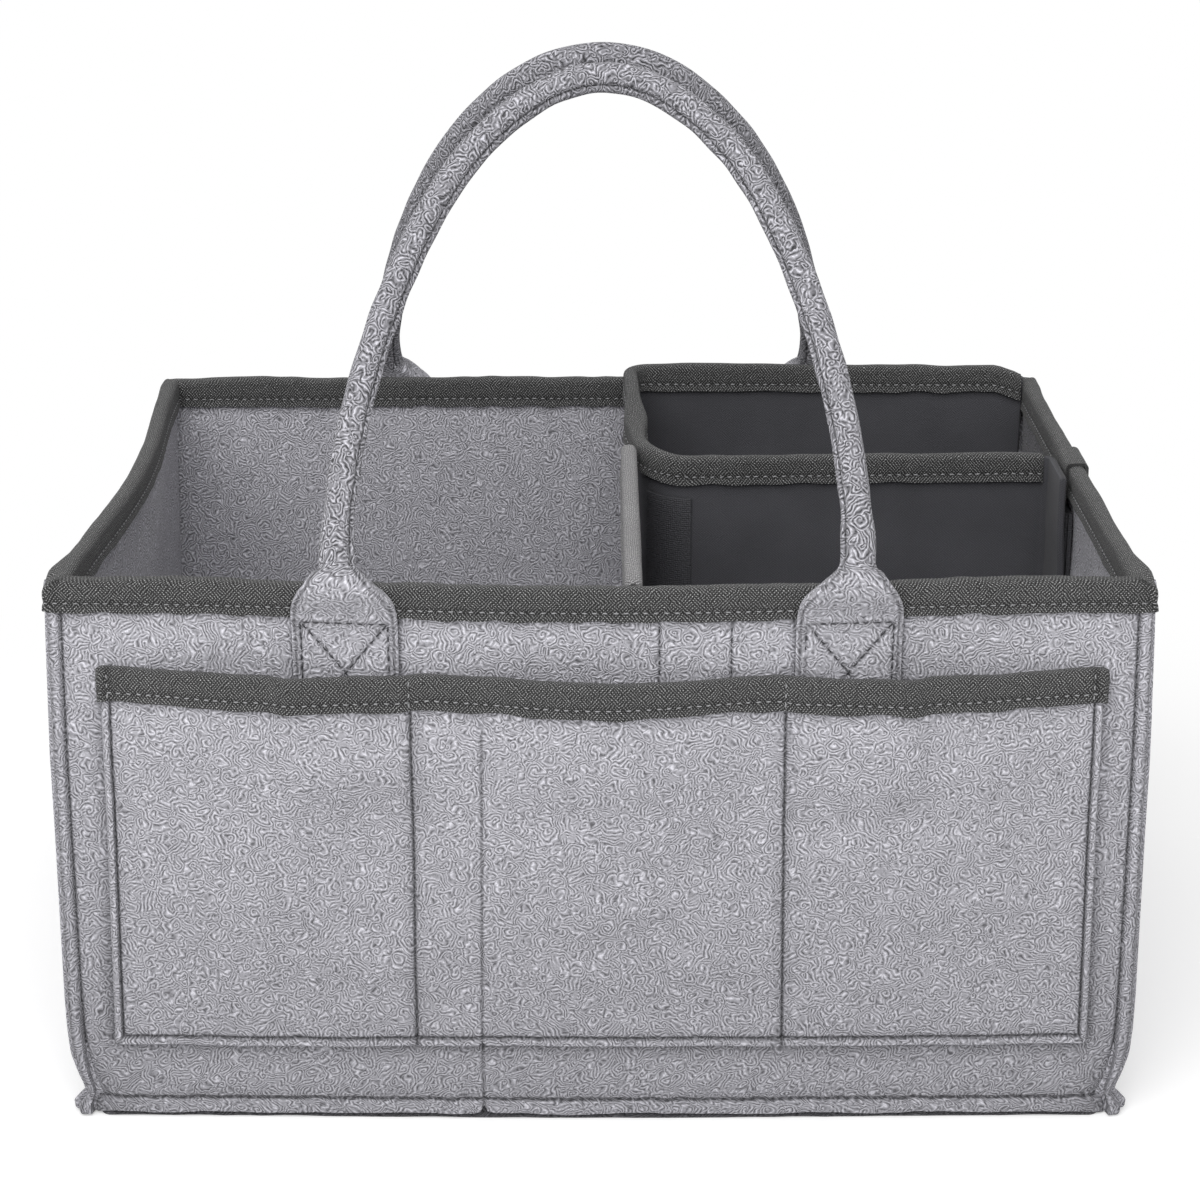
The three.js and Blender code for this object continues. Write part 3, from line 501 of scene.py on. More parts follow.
def felt_material(name, colour, loop, spacing, contrast, depth, stretched=0.0):
    """Needled felt: curled fibres lighter and darker than the ground, in soft uneven patches, and
    darker by a painted shade in the crevices of needle lines and folds, in shaded corners and
    under parts laid over it.

    contrast is how far the curls stray from the ground, in doublings, and depth their relief. The
    light side stops at a ceiling. The ground darkens a little towards the floor, a painted shade for
    the dimmer light low down. Where the felt is rolled, as its own attribute says, it is darker too,
    its ceiling is higher, and stretched adds contrast.
    """
    material, tree = new_material(name)
    fibres = node(tree, "Group", node_tree=fibre_group)
    for label, value in (("Loop", loop), ("Spacing", spacing)):
        fibres.inputs[label].default_value = value
    tree.links.new(node(tree, "TexCoord").outputs["UV"], fibres.inputs["Place"])
    curls, grain, patches = (fibres.outputs[label] for label in ("Curls", "Grain", "Patches"))
    # Painted shade: this attribute darkens the tone in needle lines, folds, shaded corners and under parts
    # laid over the felt.
    crevice_shade = node(tree, "Attribute", attribute_name="crevice_shade").outputs["Fac"]
    rolled = node(tree, "Attribute", attribute_name="rolled").outputs["Fac"]
    strength = maths(tree, "MULTIPLY_ADD", rolled, stretched, contrast)
    shown = maths(tree, "MULTIPLY", maths(tree, "SUBTRACT", curls, 0.5), strength)
    ceiling = maths(tree, "MULTIPLY_ADD", rolled, 0.20, 0.45)
    shown = maths(tree, "MINIMUM", shown, ceiling)
    # Painted shade: the ground darkens towards the floor, where the walls get less light.
    climb = node(tree, "SeparateXYZ", {0: node(tree, "TexCoord").outputs["Object"]}).outputs[2]
    climb = maths(tree, "MINIMUM", climb, 0.19)
    tone = scaled_tone(tree, colour, [
        (shown, 0.0, 1.0), (grain, 0.5, 0.45), (patches, 0.5, 0.16), (crevice_shade, 0.0, -0.85),
        (rolled, 0.0, -0.34), (climb, 0.10, 1.2)])
    return finished(material, tone, 0.95, maths(tree, "MULTIPLY_ADD", grain, 0.5, curls), depth,
                    more={"Specular IOR Level": 0.12, "Sheen Weight": 0.1, "Sheen Roughness": 0.5})


felt = felt_material("grey_felt", felt_screen, loop=0.0054, spacing=0.00120, contrast=1.65, depth=0.00038)


def wall_columns(lines=()):
    """Columns of the front or back wall: across it and out over both seam allowances."""
    seams = (half_width - corner_stitch_in, corner_stitch_in - half_width)
    wall = stations(-half_width, half_width, 0.0026, (*seams, *lines))
    out = np.linspace(0, flange_width, 6)[1:] + half_width
    return np.concatenate([-out[::-1], wall, out])


def seam_swell(height):
    """How far the corner seams stand out at a height: pinched in at the base and under the tape."""
    return np.interp(height, flange_heights, seam_swells)


def flared(column, height, flares):
    """Sideways place of a column: the seam line swells, and past it the edge stands out by the
    flare there."""
    reach = np.abs(column)
    swell = seam_swell(height) * ease(reach, half_width - 0.03, half_width)
    tip = np.interp(height, flange_heights, flares) - seam_swell(height)
    past = np.clip(reach - half_width, 0, None) * np.maximum(tip, 0.0012) / flange_width
    return np.sign(column) * (np.minimum(reach, half_width) + swell + past)


def seam_relief(column, height):
    """How far a wall draws in round its corner and base stitching, with puckers below it."""
    inside = half_width - corner_stitch_in - np.abs(column)
    corner = corner_needle * dip(inside, needle_wide)
    deeper = 0.4 + 2.0 * dip(height - low_corner_at, low_corner_reach)
    corner = corner + corner_drawn * deeper * fading(inside, 0.004, -0.0006)
    above = height - base_stitch_height
    base = base_needle * dip(above, needle_wide) + base_drawn * fading(above, base_fades)
    puckers = pucker_deep * waves(11, pucker_long)(column, 0 * height) * np.exp(-np.abs(above) / pucker_long)
    lifted_edge = edge_lift * ease(-inside, 0.0, 0.004) * ease(height, 0.0, 0.02)
    return corner + base + puckers - lifted_edge


def seam_painted_shade(column, height):
    """Painted shade on a wall's face: dark along its needle lines and fading away from them, darker low
    beside the corners and towards the raw edge of each seam allowance.
    """
    inside = half_width - corner_stitch_in - np.abs(column)
    above = height - base_stitch_height
    corner = seam_shade * dip(inside, needle_wide) + corner_shade * fading(inside, 0.003)
    low = foot_shade * np.exp(-np.hypot(np.clip(inside, 0, None), np.clip(above, 0, None)) / 0.010)
    base = seam_shade * dip(above, needle_wide) + base_shade * fading(above, 0.0035)
    edge = edge_shade * ease(-inside, 0.0050, flange_width)
    return corner + np.maximum(base, low) * (inside > -0.0008) + edge


def away_from_seams(x, height):
    """How far a place is from its wall's seams and tape: zero there and one in the middle."""
    flat = ease(half_width - np.abs(x), 0.0, 0.03) * ease(height, 0.0, 0.03)
    return flat * ease(felt_top - height, 0.010, 0.030)


def front_wall_face(column, height):
    """Outer face of the front wall: drawn in at its seams and at the two sewn strips, with a fold
    line low down and the slow unevenness of soft felt."""
    x = flared(column, height, front_flares)
    relief = seam_relief(column, height)
    for line in strip_stitches:
        relief = relief + strip_needle * dip(x - line, strip_needle_wide) * (height > 0.08)
    relief = relief + crease_deep * dip(x - crease_x, crease_wide) * (height < 0.1)
    relief = relief - wall_uneven * waves(12, 0.07)(x, height) * away_from_seams(x, height)
    lowest = foot_lift + 0.0002 * waves(13, 0.03)(x, 0 * height)
    lowest = lowest - corner_foot_drop * ease(np.abs(x), 0.165, 0.178)
    lowest = lowest + crease_notch * dip(x - crease_x, 0.0011)
    lift = lowest * np.clip(1 - height / base_top, 0, 1)
    return placed(x, relief - half_depth, height + lift)


def front_wall_back(column, height):
    """Inner face of the front wall, straight behind the outer one."""
    points = front_wall_face(column, height)
    points[..., 1] = felt_thick - half_depth
    return points


wall_rows = heights_between(0.0, felt_top, 0.0026, (base_stitch_height,))
tab_edges = [
    middle + side * tab_width / 2 for middle in (-tab_center, tab_center - right_tab_in) for side in (-1, 1)]
front_columns = wall_columns((*strip_stitches, crease_x, *tab_edges))
column_grid, row_grid = np.meshgrid(front_columns, wall_rows)
front_face = settle(front_wall_face(column_grid, row_grid))
front_back = settle(front_wall_back(column_grid, row_grid))
# Painted shade on the front wall's face: along its seams, sewn strips and fold line, with painted shadow
# round the pocket and on both sides of each handle tab.
front_painted_shade = seam_painted_shade(column_grid, row_grid)
for line in strip_stitches:
    front_painted_shade += 0.6 * dip(column_grid - line, needle_wide) * (row_grid > strip_shown_from)
front_painted_shade += 0.45 * dip(column_grid - crease_x, 0.0006) * (row_grid < crease_shown_to)
pocket_edge = pocket_half_low - pocket_narrowing * (row_grid - pocket_bottom)
beside_pocket = np.hypot(np.clip(np.abs(column_grid) - pocket_edge, 0, None),
                         np.clip(pocket_bottom - 0.0006 - row_grid, 0, None))
front_painted_shade += 0.5 * np.exp(-beside_pocket / 0.0018) * (row_grid < pocket_shade_to)
for line in tab_edges:
    front_painted_shade += 0.5 * dip(column_grid - line, 0.0008) * (row_grid > tab_shade_from)
front_wall = loft("front_wall", cloth_rings(front_face, front_back), felt, crevice_shade=face_painted_shade(front_painted_shade))
fasten(front_wall, "root", "felt", "front_panel")


# Back wall: the same cut of felt as the front one, straighter, with no pocket on it. Its seam
# allowances are pressed in where the tape wraps them.
back_flares = [*front_flares[:-2], 0.0006, 0.0006]


def back_wall_face(column, height):
    """Outer face of the back wall: the front wall's seams turned round, without its strips."""
    x = flared(column, height, back_flares)
    uneven = waves(22, 0.08)(x, height) * away_from_seams(x, height)
    relief = seam_relief(column, height) - wall_uneven * uneven
    lowest = 0.0017 + 0.0003 * waves(23, 0.03)(x, 0 * height)
    return placed(x, half_depth - relief, height + lowest * np.clip(1 - height / base_top, 0, 1))


back_columns = wall_columns()
column_grid, row_grid = np.meshgrid(back_columns, wall_rows)
back_face = settle(back_wall_face(column_grid, row_grid))
back_inner = back_wall_face(column_grid, row_grid)
back_inner[..., 1] = half_depth - felt_thick
# Painted shade along the back wall's seams.
back_painted_shade = face_painted_shade(seam_painted_shade(column_grid, row_grid))
back_wall = loft("back_wall", cloth_rings(back_face, settle(back_inner)), felt, crevice_shade=back_painted_shade)
fasten(back_wall, "root", "felt", "back_panel")


# Side walls: each end turns outwards round the corner and lies flat against the front or back
# wall's allowance, its raw edge a little prouder, and the foot splays out over the floor.
side_flares = [0.0056, 0.0068, 0.0046, 0.0020, 0.0030, 0.0042, 0.0064, 0.0070, 0.0071, 0.0062, 0.0060,
               0.0042, 0.0042]
side_back_flares = [*side_flares[:-2], 0.0014, 0.0014]
splay_least, splay_more, splay_height, splay_power = 0.0012, 0.0046, 0.034, 1.3
side_needle, side_drawn = 0.0008, 0.0006
bend_radius, allowance_points = 0.0015, 22
allowance_face = half_depth - felt_thick - fit_gap
bend_y = allowance_face - felt_thick - bend_radius


def side_plan(height, radius, end_y):
    """Plan of one face of a side wall at each height, from the front allowance's tip to the back
    one's: out along the allowance, round the bend and along the wall."""
    bend_x = half_width + bend_radius
    tip = half_width + np.interp(height, flange_heights, side_flares)
    back_tip = half_width + np.interp(height, flange_heights, side_back_flares)
    share = np.linspace(0, 1, 14)[:-1]
    start = bend_x + seam_swell(height)[:, None]
    front = placed(tip[:, None] + (start - tip[:, None]) * share, -end_y, 0)
    back = placed(back_tip[:, None] + (start - back_tip[:, None]) * share, end_y, 0)
    angle = np.radians(np.linspace(270, 180, 6))
    turn = placed(start + radius * np.cos(angle), -bend_y + radius * np.sin(angle), 0)
    y = np.concatenate([stations(-bend_y, -0.08, 0.0018), stations(-0.08, 0.08, 0.003)[1:-1]])
    y = np.concatenate([y[1:], -y[y < -0.0799][::-1][:-1]])
    swell = seam_swell(height)[:, None] * ease(np.abs(y), bend_y - 0.03, bend_y)
    wall = placed(bend_x - radius + swell, y, 0)
    return np.concatenate([front, turn, wall, (turn * (1, -1, 1))[:, ::-1], back[:, ::-1]], axis=1)


def side_wall(name, side, node_name):
    """One side wall: both faces follow the plan, its foot splays most beside the corners, and its
    seams draw it in."""
    outer = side_plan(wall_rows, bend_radius, allowance_face - felt_thick)
    inner = side_plan(wall_rows, bend_radius + felt_thick, allowance_face)
    height = wall_rows[:, None]
    above = height - base_stitch_height
    faces = []
    for points, drawn in ((outer, 1.0), (inner, 0.0)):
        y = points[..., 1]
        on_wall = ease(bend_y - np.abs(y), 0.0, 0.008)
        beside_corner = np.exp(-np.clip(bend_y - 0.008 - np.abs(y), 0, None) / 0.020)
        foot = np.clip(1 - height / splay_height, 0, 1) ** splay_power
        splay = (splay_least + splay_more * beside_corner) * foot
        line = side_needle * dip(above, 2 * needle_wide) + side_drawn * fading(above, base_fades)
        slow = 0.0005 * waves(31 + side, 0.07)(y, height + 0 * y) * ease(height, 0.0, 0.04)
        slow = slow * ease(felt_top - height, 0.010, 0.030)
        x = points[..., 0] + (splay - drawn * line + slow) * on_wall
        lowest = 0.0014 + 0.0003 * waves(33 + side, 0.03)(y, 0 * y)
        z = height + lowest * np.clip(1 - height / base_top, 0, 1)
        faces.append(settle(placed(side * x, y, z)))
    # Painted shade on the side wall: at the bend of each allowance and along the base seam, a painted shadow
    # line on the allowance just past the front wall's raw edge, and deep shade on the right wall's inner face
    # behind the bin.
    y = outer[..., 1]
    inside = bend_y + 0.001 - np.abs(y)
    painted_shade = 0.5 * np.exp(-np.abs(inside) / 0.003)
    low = 0.8 * dip(above, needle_wide) + 0.3 * np.exp(-np.abs(above) / 0.003)
    painted_shade = np.maximum(painted_shade, low * (inside > 0))
    past_front = inner[..., 0] - half_width - np.interp(height, flange_heights, front_flares)
    back_face_shade = 0.8 * ease(-past_front, -0.0009, 0.0001) * (np.abs(inner[..., 1]) > bend_y)
    back_face_shade = np.maximum(back_face_shade, 0.7 * ease(inner[..., 1], 0.0, 0.03) * (side > 0))
    wall = loft(name, cloth_rings(*faces), felt, crevice_shade=face_painted_shade(painted_shade, back_face_shade))
    fasten(wall, "root", "felt", node_name)
    return faces[0]


left_face = side_wall("left_wall", -1, "left_panel")
right_face = side_wall("right_wall", 1, "right_panel")


# Bottom: a felt panel whose four edges turn down inside the walls' lower edges, sewn through
# with them, and the loose stiffening board that keeps it flat.
def rounded_ring(half_x, half_y, radius, height, wobble=0.0):
    """A level ring of points with round corners, run anticlockwise from the right-hand middle."""
    corner = np.radians(np.linspace(0, 90, 9))
    bend = on_plan(half_x - radius + radius * np.cos(corner), half_y - radius + radius * np.sin(corner))
    side_y = np.linspace(0, half_y - radius, 30)[:-1]
    end_x = np.linspace(half_x - radius, 0, 40)[1:]
    quarter = np.concatenate([on_plan(half_x, side_y), bend, on_plan(end_x, half_y)])
    left = quarter[::-1][1:] * (-1, 1)
    ring = np.concatenate([quarter, left, (left * (1, -1))[::-1][1:], (quarter * (1, -1))[::-1][1:-1]])
    uneven = wobble * waves(41, 0.03)(ring[:, 0], ring[:, 1])
    return placed(ring[:, 0], ring[:, 1], height + np.abs(uneven))


inner_x, inner_y = half_width - felt_thick - fit_gap, allowance_face
bottom_rings = np.stack([
    rounded_ring(inner_x - felt_thick, inner_y - felt_thick, 0.0015, base_top - felt_thick),
    rounded_ring(inner_x - felt_thick, inner_y - felt_thick, 0.0015, 0.0012),
    rounded_ring(inner_x - 0.8 * felt_thick, inner_y - 0.8 * felt_thick, 0.002, 0.0002, 0.0002),
    rounded_ring(inner_x + 0.0010, inner_y + 0.0019, 0.004, 0.0, 0.0002),
    rounded_ring(inner_x + 0.0012, inner_y + 0.0024, 0.0045, 0.0005, 0.0001),
    rounded_ring(inner_x + 0.0008, inner_y + 0.0016, 0.0045, 0.0009),
    rounded_ring(inner_x, inner_y, 0.0045, 0.0022),
    rounded_ring(inner_x, inner_y, 0.0045, base_top - 0.0018),
    rounded_ring(inner_x - 0.0006, inner_y - 0.0006, 0.0045, base_top - 0.0005),
    rounded_ring(inner_x - 0.0020, inner_y - 0.0020, 0.0045, base_top),
])
# Painted shade: the bottom felt's edge, turned down and out to the floor under the walls, is darkened as if
# in shadow.
bottom_painted_shade = np.array([0, 0, 0.2, 1, 1, 1, 1, 1, 0.4, 0])[:, None] + 0 * bottom_rings[..., 0]
bottom = loft("bottom_felt", settle(bottom_rings), felt, crevice_shade=bottom_painted_shade)
fasten(bottom, "root", "felt", "bottom_panel")


def board_material():
    """Pressed grey fibreboard with pale and dark flecks."""
    material, tree = new_material("fibreboard")
    place = node(tree, "TexCoord").outputs["Object"]
    flecks = node(tree, "TexVoronoi", {"Vector": place, "Scale": 650.0}).outputs["Color"]
    value = node(tree, "SeparateColor", {0: flecks}).outputs[0]
    clouds = noise(tree, place, 40.0, 4.0)[0]
    share = maths(tree, "MULTIPLY_ADD", clouds, 0.6, maths(tree, "MULTIPLY", value, 0.4))
    tone = mixed(tree, share, screen(120, 119, 122), screen(160, 159, 163))
    return finished(material, tone, 0.85, value, depth=0.0002, strength=0.5)


def dress(node_name, material):
    """Gives a carried-over solid its finish."""
    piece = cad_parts[node_name]
    piece.data.materials.clear()
    piece.data.materials.append(material)


dress("base_board", board_material())


# Rim tape: woven charcoal binding, folded over the raw top edge of all four walls in one length
# and sewn through near its lower edge, so that light thread shows on both sides.
tape_screen = (69, 69, 69)
tape_round = (0.0023, 0.0022)
tape_stitch, tape_stitch_point = 0.0030, 4
rim_front_tip, rim_back_tip, rim_ease = 0.0030, 0.0009, 0.020


def ribbed_weave():
    """Node group: a narrow woven tape, as fine short ribs that wander, change their slant every few
    millimetres and break up into dots where both slants meet. Place is the tape's own UV in metres
    and Pitch the ribs' distance."""
    tree, given, result = new_group(
        "ribbed_weave", (("Place", "Vector"), ("Pitch", "Float")), ("Ribs", "Grain", "Patches"))
    parts = node(tree, "SeparateXYZ", {0: given["Place"]}).outputs
    rate = maths(tree, "DIVIDE", 2 * math.pi, given["Pitch"])
    bend = noise(tree, given["Place"], 420.0, 1.0)[0]
    ribs = []
    for slant in (0.9, -0.9):
        across = maths(tree, "MULTIPLY_ADD", parts[1], slant, parts[0])
        phase = maths(tree, "MULTIPLY_ADD", across, rate, maths(tree, "MULTIPLY", bend, 7.5))
        ribs.append(maths(tree, "SINE", phase))
    rule = noise(tree, given["Place"], 330.0)[0]
    share = node(tree, "MapRange", {0: rule, 1: 0.44, 2: 0.56}).outputs[0]
    ribbed = node(tree, "Mix", {0: share, 2: ribs[0], 3: ribs[1]}).outputs[0]
    dotted = maths(tree, "MULTIPLY", ribs[0], ribs[1])
    woven = maths(tree, "MULTIPLY_ADD", dotted, 0.22, maths(tree, "MULTIPLY_ADD", ribbed, 0.28, 0.5))
    grain, patches = noise(tree, given["Place"], 2400.0, 1.0)[0], noise(tree, given["Place"], 60.0)[0]
    for label, value in (("Ribs", woven), ("Grain", grain), ("Patches", patches)):
        tree.links.new(value, result.inputs[label])
    return tree


weave_group = ribbed_weave()


def woven_material(name, colour, pitch, contrast, depth):
    """Woven tape or lining: ribs and grain about the ground colour, in its own UV, darkened by painted shade
    in its needle lines and creases.
    """
    material, tree = new_material(name)
    weave = node(tree, "Group", node_tree=weave_group)
    weave.inputs["Pitch"].default_value = pitch
    tree.links.new(node(tree, "TexCoord").outputs["UV"], weave.inputs["Place"])
    ribs, grain, patches = (weave.outputs[label] for label in ("Ribs", "Grain", "Patches"))
    # Painted shade from each piece's own darkening attribute.
    crevice_shade = node(tree, "Attribute", attribute_name="crevice_shade").outputs["Fac"]
    tone = scaled_tone(tree, colour, [
        (ribs, 0.5, contrast), (grain, 0.5, 0.8 * contrast), (patches, 0.5, 0.2), (crevice_shade, 0.0, -0.8)])
    return finished(material, tone, 0.85, maths(tree, "MULTIPLY_ADD", grain, 0.4, ribs), depth,
                    more={"Specular IOR Level": 0.2, "Sheen Weight": 0.1})


tape = woven_material("charcoal_tape", tape_screen, pitch=0.00120, contrast=3.1, depth=0.00040)


def tape_fold(width, height):
    """Outline of folded tape as shares for every station: distance in from the outer face, height
    above the lower edge and the turn of the cloth there, from 0 on the outer leg to 180."""
    leg = np.array([0, 0.0008, 0.0018, 0.0026, tape_stitch, 0.0034, 0.0050, 0.0068, 0.0086])
    leg = leg * height / tape_height
    turn = np.radians([8, 24, 42, 60, 78])
    round_x, round_z = tape_round
    arc_in, arc_up = round_x * (1 - np.cos(turn)), height - round_z + round_z * np.sin(turn)
    crown = np.full(3, height)
    inward = np.stack([0 * width] * len(leg) + [arc + 0 * width for arc in arc_in], -1)
    flat = width[:, None] * np.array([0.42, 0.5, 0.58])
    outline_in = np.concatenate([inward, flat, width[:, None] - inward[:, ::-1]], -1)
    outline_up = np.concatenate([leg, arc_up, crown, arc_up[::-1], leg[::-1]])
    outline_turn = np.concatenate([0 * leg, turn, np.full(3, np.pi / 2), np.pi - turn[::-1], 0 * leg + np.pi])
    return outline_in, outline_up, outline_turn


def folded_tape(outer, inner, top, seed, closed=False, height=tape_height):
    """Rings of tape folded over an edge, one for each station of its outer and inner plan lines.

    The legs dip at the stitching and flare a little below it, and both legs and the fold wander
    with slow waves. Each ring runs up the outer leg, over, down the inner leg and back inside.
    """
    across = inner - outer
    width = np.linalg.norm(across, axis=-1)
    across = across / width[:, None]
    line = run_along(outer)
    if closed:
        line = line / line[-1] * 2 * np.pi
        u, v = np.cos(line), np.sin(line)
        slow, quick = waves(seed, 0.25), waves(seed + 1, 0.07)
    else:
        u, v = line, 0 * line
        slow, quick = waves(seed, 0.05), waves(seed + 1, 0.018)
    inward, up, turn = tape_fold(width, height)
    lower = np.clip(1 - up / (2 * tape_stitch), 0, 1)
    pressed = 0.00035 * dip(up - tape_stitch * height / tape_height, 0.0008) - 0.0003 * lower**2
    facing = np.cos(turn)
    wander = 0.00022 * slow(u, v) + 0.00010 * quick(u, v)
    shift = facing * (pressed + 0.5 * lower * np.abs(wander[:, None]) * -1)
    top_wave = (0.00022 * slow(v, u) + 0.00010 * quick(v, u))[:, None] * ease(up, 0.4 * height, height)
    foot_wave = 0.00025 * quick(v, u)[:, None] * ease(-up, -0.3 * height, 0)
    z = (top - height)[:, None] + up + top_wave + foot_wave
    outside_in = inward + shift
    inside_in = outside_in + tape_thick * facing
    inside_z = z - tape_thick * np.sin(turn)

    def ring(distance, z):
        """Points at a distance in from the outer plan line."""
        plan = outer[:, None] + across[:, None] * distance[..., None]
        return placed(plan[..., 0], plan[..., 1], z)

    return np.concatenate([ring(outside_in, z), ring(inside_in, inside_z)[:, ::-1]], axis=1)


def tape_painted_shade(count, height=tape_height):
    """Painted shade of folded tape: dark along its needle line on both legs, for so many stations."""
    _, up, _ = tape_fold(np.zeros(1), height)
    line = 0.6 * dip(up - tape_stitch * height / tape_height, needle_wide)
    return np.tile(np.concatenate([line, 0 * line]), (count, 1))


def rim_quarter(allowance):
    """Outer and inner plan points of the rim tape from the middle of the front to the middle of a
    side: out over the seam allowance, round its tip, and in to the wall."""
    outer_y, inner_wall_y = half_depth + tape_stack, half_depth - felt_thick - tape_stack
    inner_wall_x, wall_outer_x = half_width - felt_thick - tape_stack, half_width + tape_stack
    tip_x = half_width + allowance
    share = np.linspace(0, 1, 75)
    angle = np.radians(np.linspace(90, 0, 9))[1:]
    round_tip = on_plan(tip_x + tape_stack * np.cos(angle), half_depth + tape_stack * np.sin(angle))
    corner = np.broadcast_to([inner_wall_x, inner_wall_y], round_tip.shape)
    start = allowance_face - felt_thick - tape_stack
    end = start - rim_ease
    ease_y = np.concatenate([np.linspace(half_depth, start, 5)[1:], np.linspace(start, end, 9)[1:]])
    eased = on_plan(wall_outer_x + (tip_x + tape_stack - wall_outer_x) * ease(ease_y, end, start), ease_y)
    eased_inner = on_plan(inner_wall_x, np.minimum(ease_y, inner_wall_y - 0.0015))
    side_y = np.linspace(end, 0, 40)[1:]
    outer = [on_plan(share * tip_x, outer_y), round_tip, eased, on_plan(wall_outer_x, side_y)]
    inner = [on_plan(share * inner_wall_x, inner_wall_y), corner, eased_inner, on_plan(inner_wall_x, side_y)]
    return np.concatenate(outer), np.concatenate(inner)


def lap_of(front, rear):
    """Quarters of a plan mirrored into a whole lap, starting at the middle of the front."""
    right = [front * (1, -1), rear[::-1][1:]]
    left = [rear[1:] * (-1, 1), (front[::-1][1:-1]) * (-1, -1)]
    return np.concatenate([*right, *left])


# Outer and inner line of the front quarter, each paired with that of the back quarter.
rim_quarters = zip(rim_quarter(rim_front_tip), rim_quarter(rim_back_tip))
rim_outer, rim_inner = (lap_of(*lines) for lines in rim_quarters)
rim_rings = folded_tape(rim_outer, rim_inner, np.full(len(rim_outer), rim_height), 51, closed=True)
ring_x, ring_y = np.abs(rim_rings[..., 0]), np.abs(rim_rings[..., 1])
corner_line = dip(ring_x - half_width + corner_stitch_in, 0.0008) * (ring_y > half_depth)
rim_rings[..., 1] -= np.sign(rim_rings[..., 1]) * 0.0009 * corner_line
rim_rings = settle(rim_rings)
# Painted shade along the tape's needle lines and in the crease where each corner seam presses it.
rim_painted_shade = np.maximum(tape_painted_shade(len(rim_rings)), 0.9 * corner_line)
rim_tape = loft("rim_tape", rim_rings, tape, closed=True, crevice_shade=rim_painted_shade)
fasten(rim_tape, "root", "binding", "rim_binding")


# Front pocket: one piece of felt with its sides and foot turned in as a narrow hem, sewn down
# round the hem and along two upright lines, so that it swells in three compartments.
pocket_height = 0.1691
pocket_drop = 0.0006
pocket_low = (-0.1660, -0.0625, crease_x, 0.0622, 0.1668)
pocket_high = (-0.1629, -0.0616, crease_x + 0.0017, 0.0603, 0.1645)
pocket_left, pocket_right = pocket_low[0], pocket_low[-1]
pocket_seams = (pocket_low[1], pocket_low[3])
pocket_bulges = (0.006, 0.007, 0.006)
pocket_high_at = 0.155
side_hem, foot_hem = 0.0025, 0.0032
hem_extra = 0.0012
hem_needle, hem_needle_in, hem_needle_wide = 0.0007, 0.0001, 0.0004
seam_needle, seam_needle_wide = 0.0009, 0.0006
pocket_round, pocket_fold = 0.0009, 0.0005
foot_at = (-0.166, -0.150, -0.120, -0.097, -0.070, -0.050, -0.030, 0.045, 0.090, 0.129, 0.155, 0.167)
foot_sags = (0.0007, 0.0008, 0.0010, 0.0011, 0.0007, 0.0, 0.0, 0.0002, 0.0006, 0.0008, 0.0004, 0.0003)
lift_start, lift_end = 0.113, 0.1429
hem_flat_from, hem_flat_at = pocket_height - 0.0162, pocket_height - 0.0122


def pocket_top(x):
    """Height of the pocket's mouth, a little lower on the right."""
    return pocket_height - pocket_drop * x / (pocket_right - pocket_left)


def pocket_x(column, height):
    """Place of a column of the pocket at a height: its sides, seams and fold line lean a little."""
    climb = np.clip((height - pocket_bottom) / (pocket_high_at - pocket_bottom), 0, 1.1)
    return column + np.interp(column, pocket_low, np.subtract(pocket_high, pocket_low)) * climb


def pocket_standoff(column, height):
    """How far the pocket's back stands off the wall: it swells by a squared sine between its
    seams, steps over its own tape and over the handle tabs."""
    edges = np.array([pocket_left, *pocket_seams, pocket_right])
    bay = np.clip(np.searchsorted(edges, column) - 1, 0, 2)
    share = np.clip((column - edges[bay]) / (edges[bay + 1] - edges[bay]), 0, 1)
    climb = np.clip((height - pocket_bottom - 0.004) / (lift_end - pocket_bottom), 0, 1)
    swell = np.array(pocket_bulges)[bay] * np.sin(share * np.pi) ** 2 * np.sin(climb * np.pi / 2)
    lifted = ease(height, lift_start, lift_end)
    tab_edge = tab_width / 2 + fit_gap
    off_tab = np.abs(np.abs(pocket_x(column, height)) - tab_center)
    over_tab = 1 - ease(off_tab, tab_edge, tab_edge + tab_width / 4)
    return fit_gap + swell + lifted * (tape_stack + fit_gap / 2 + over_tab * (felt_thick + fit_gap))


def side_distance(column):
    """Distance in from the nearer side of the pocket."""
    return np.minimum(pocket_right - column, column - pocket_left)


def hem_distance(column, height):
    """Distance in from the stitched line of the hem, negative on the hem, along sides and foot."""
    return np.minimum(side_distance(column) - side_hem, height - pocket_bottom - foot_hem)


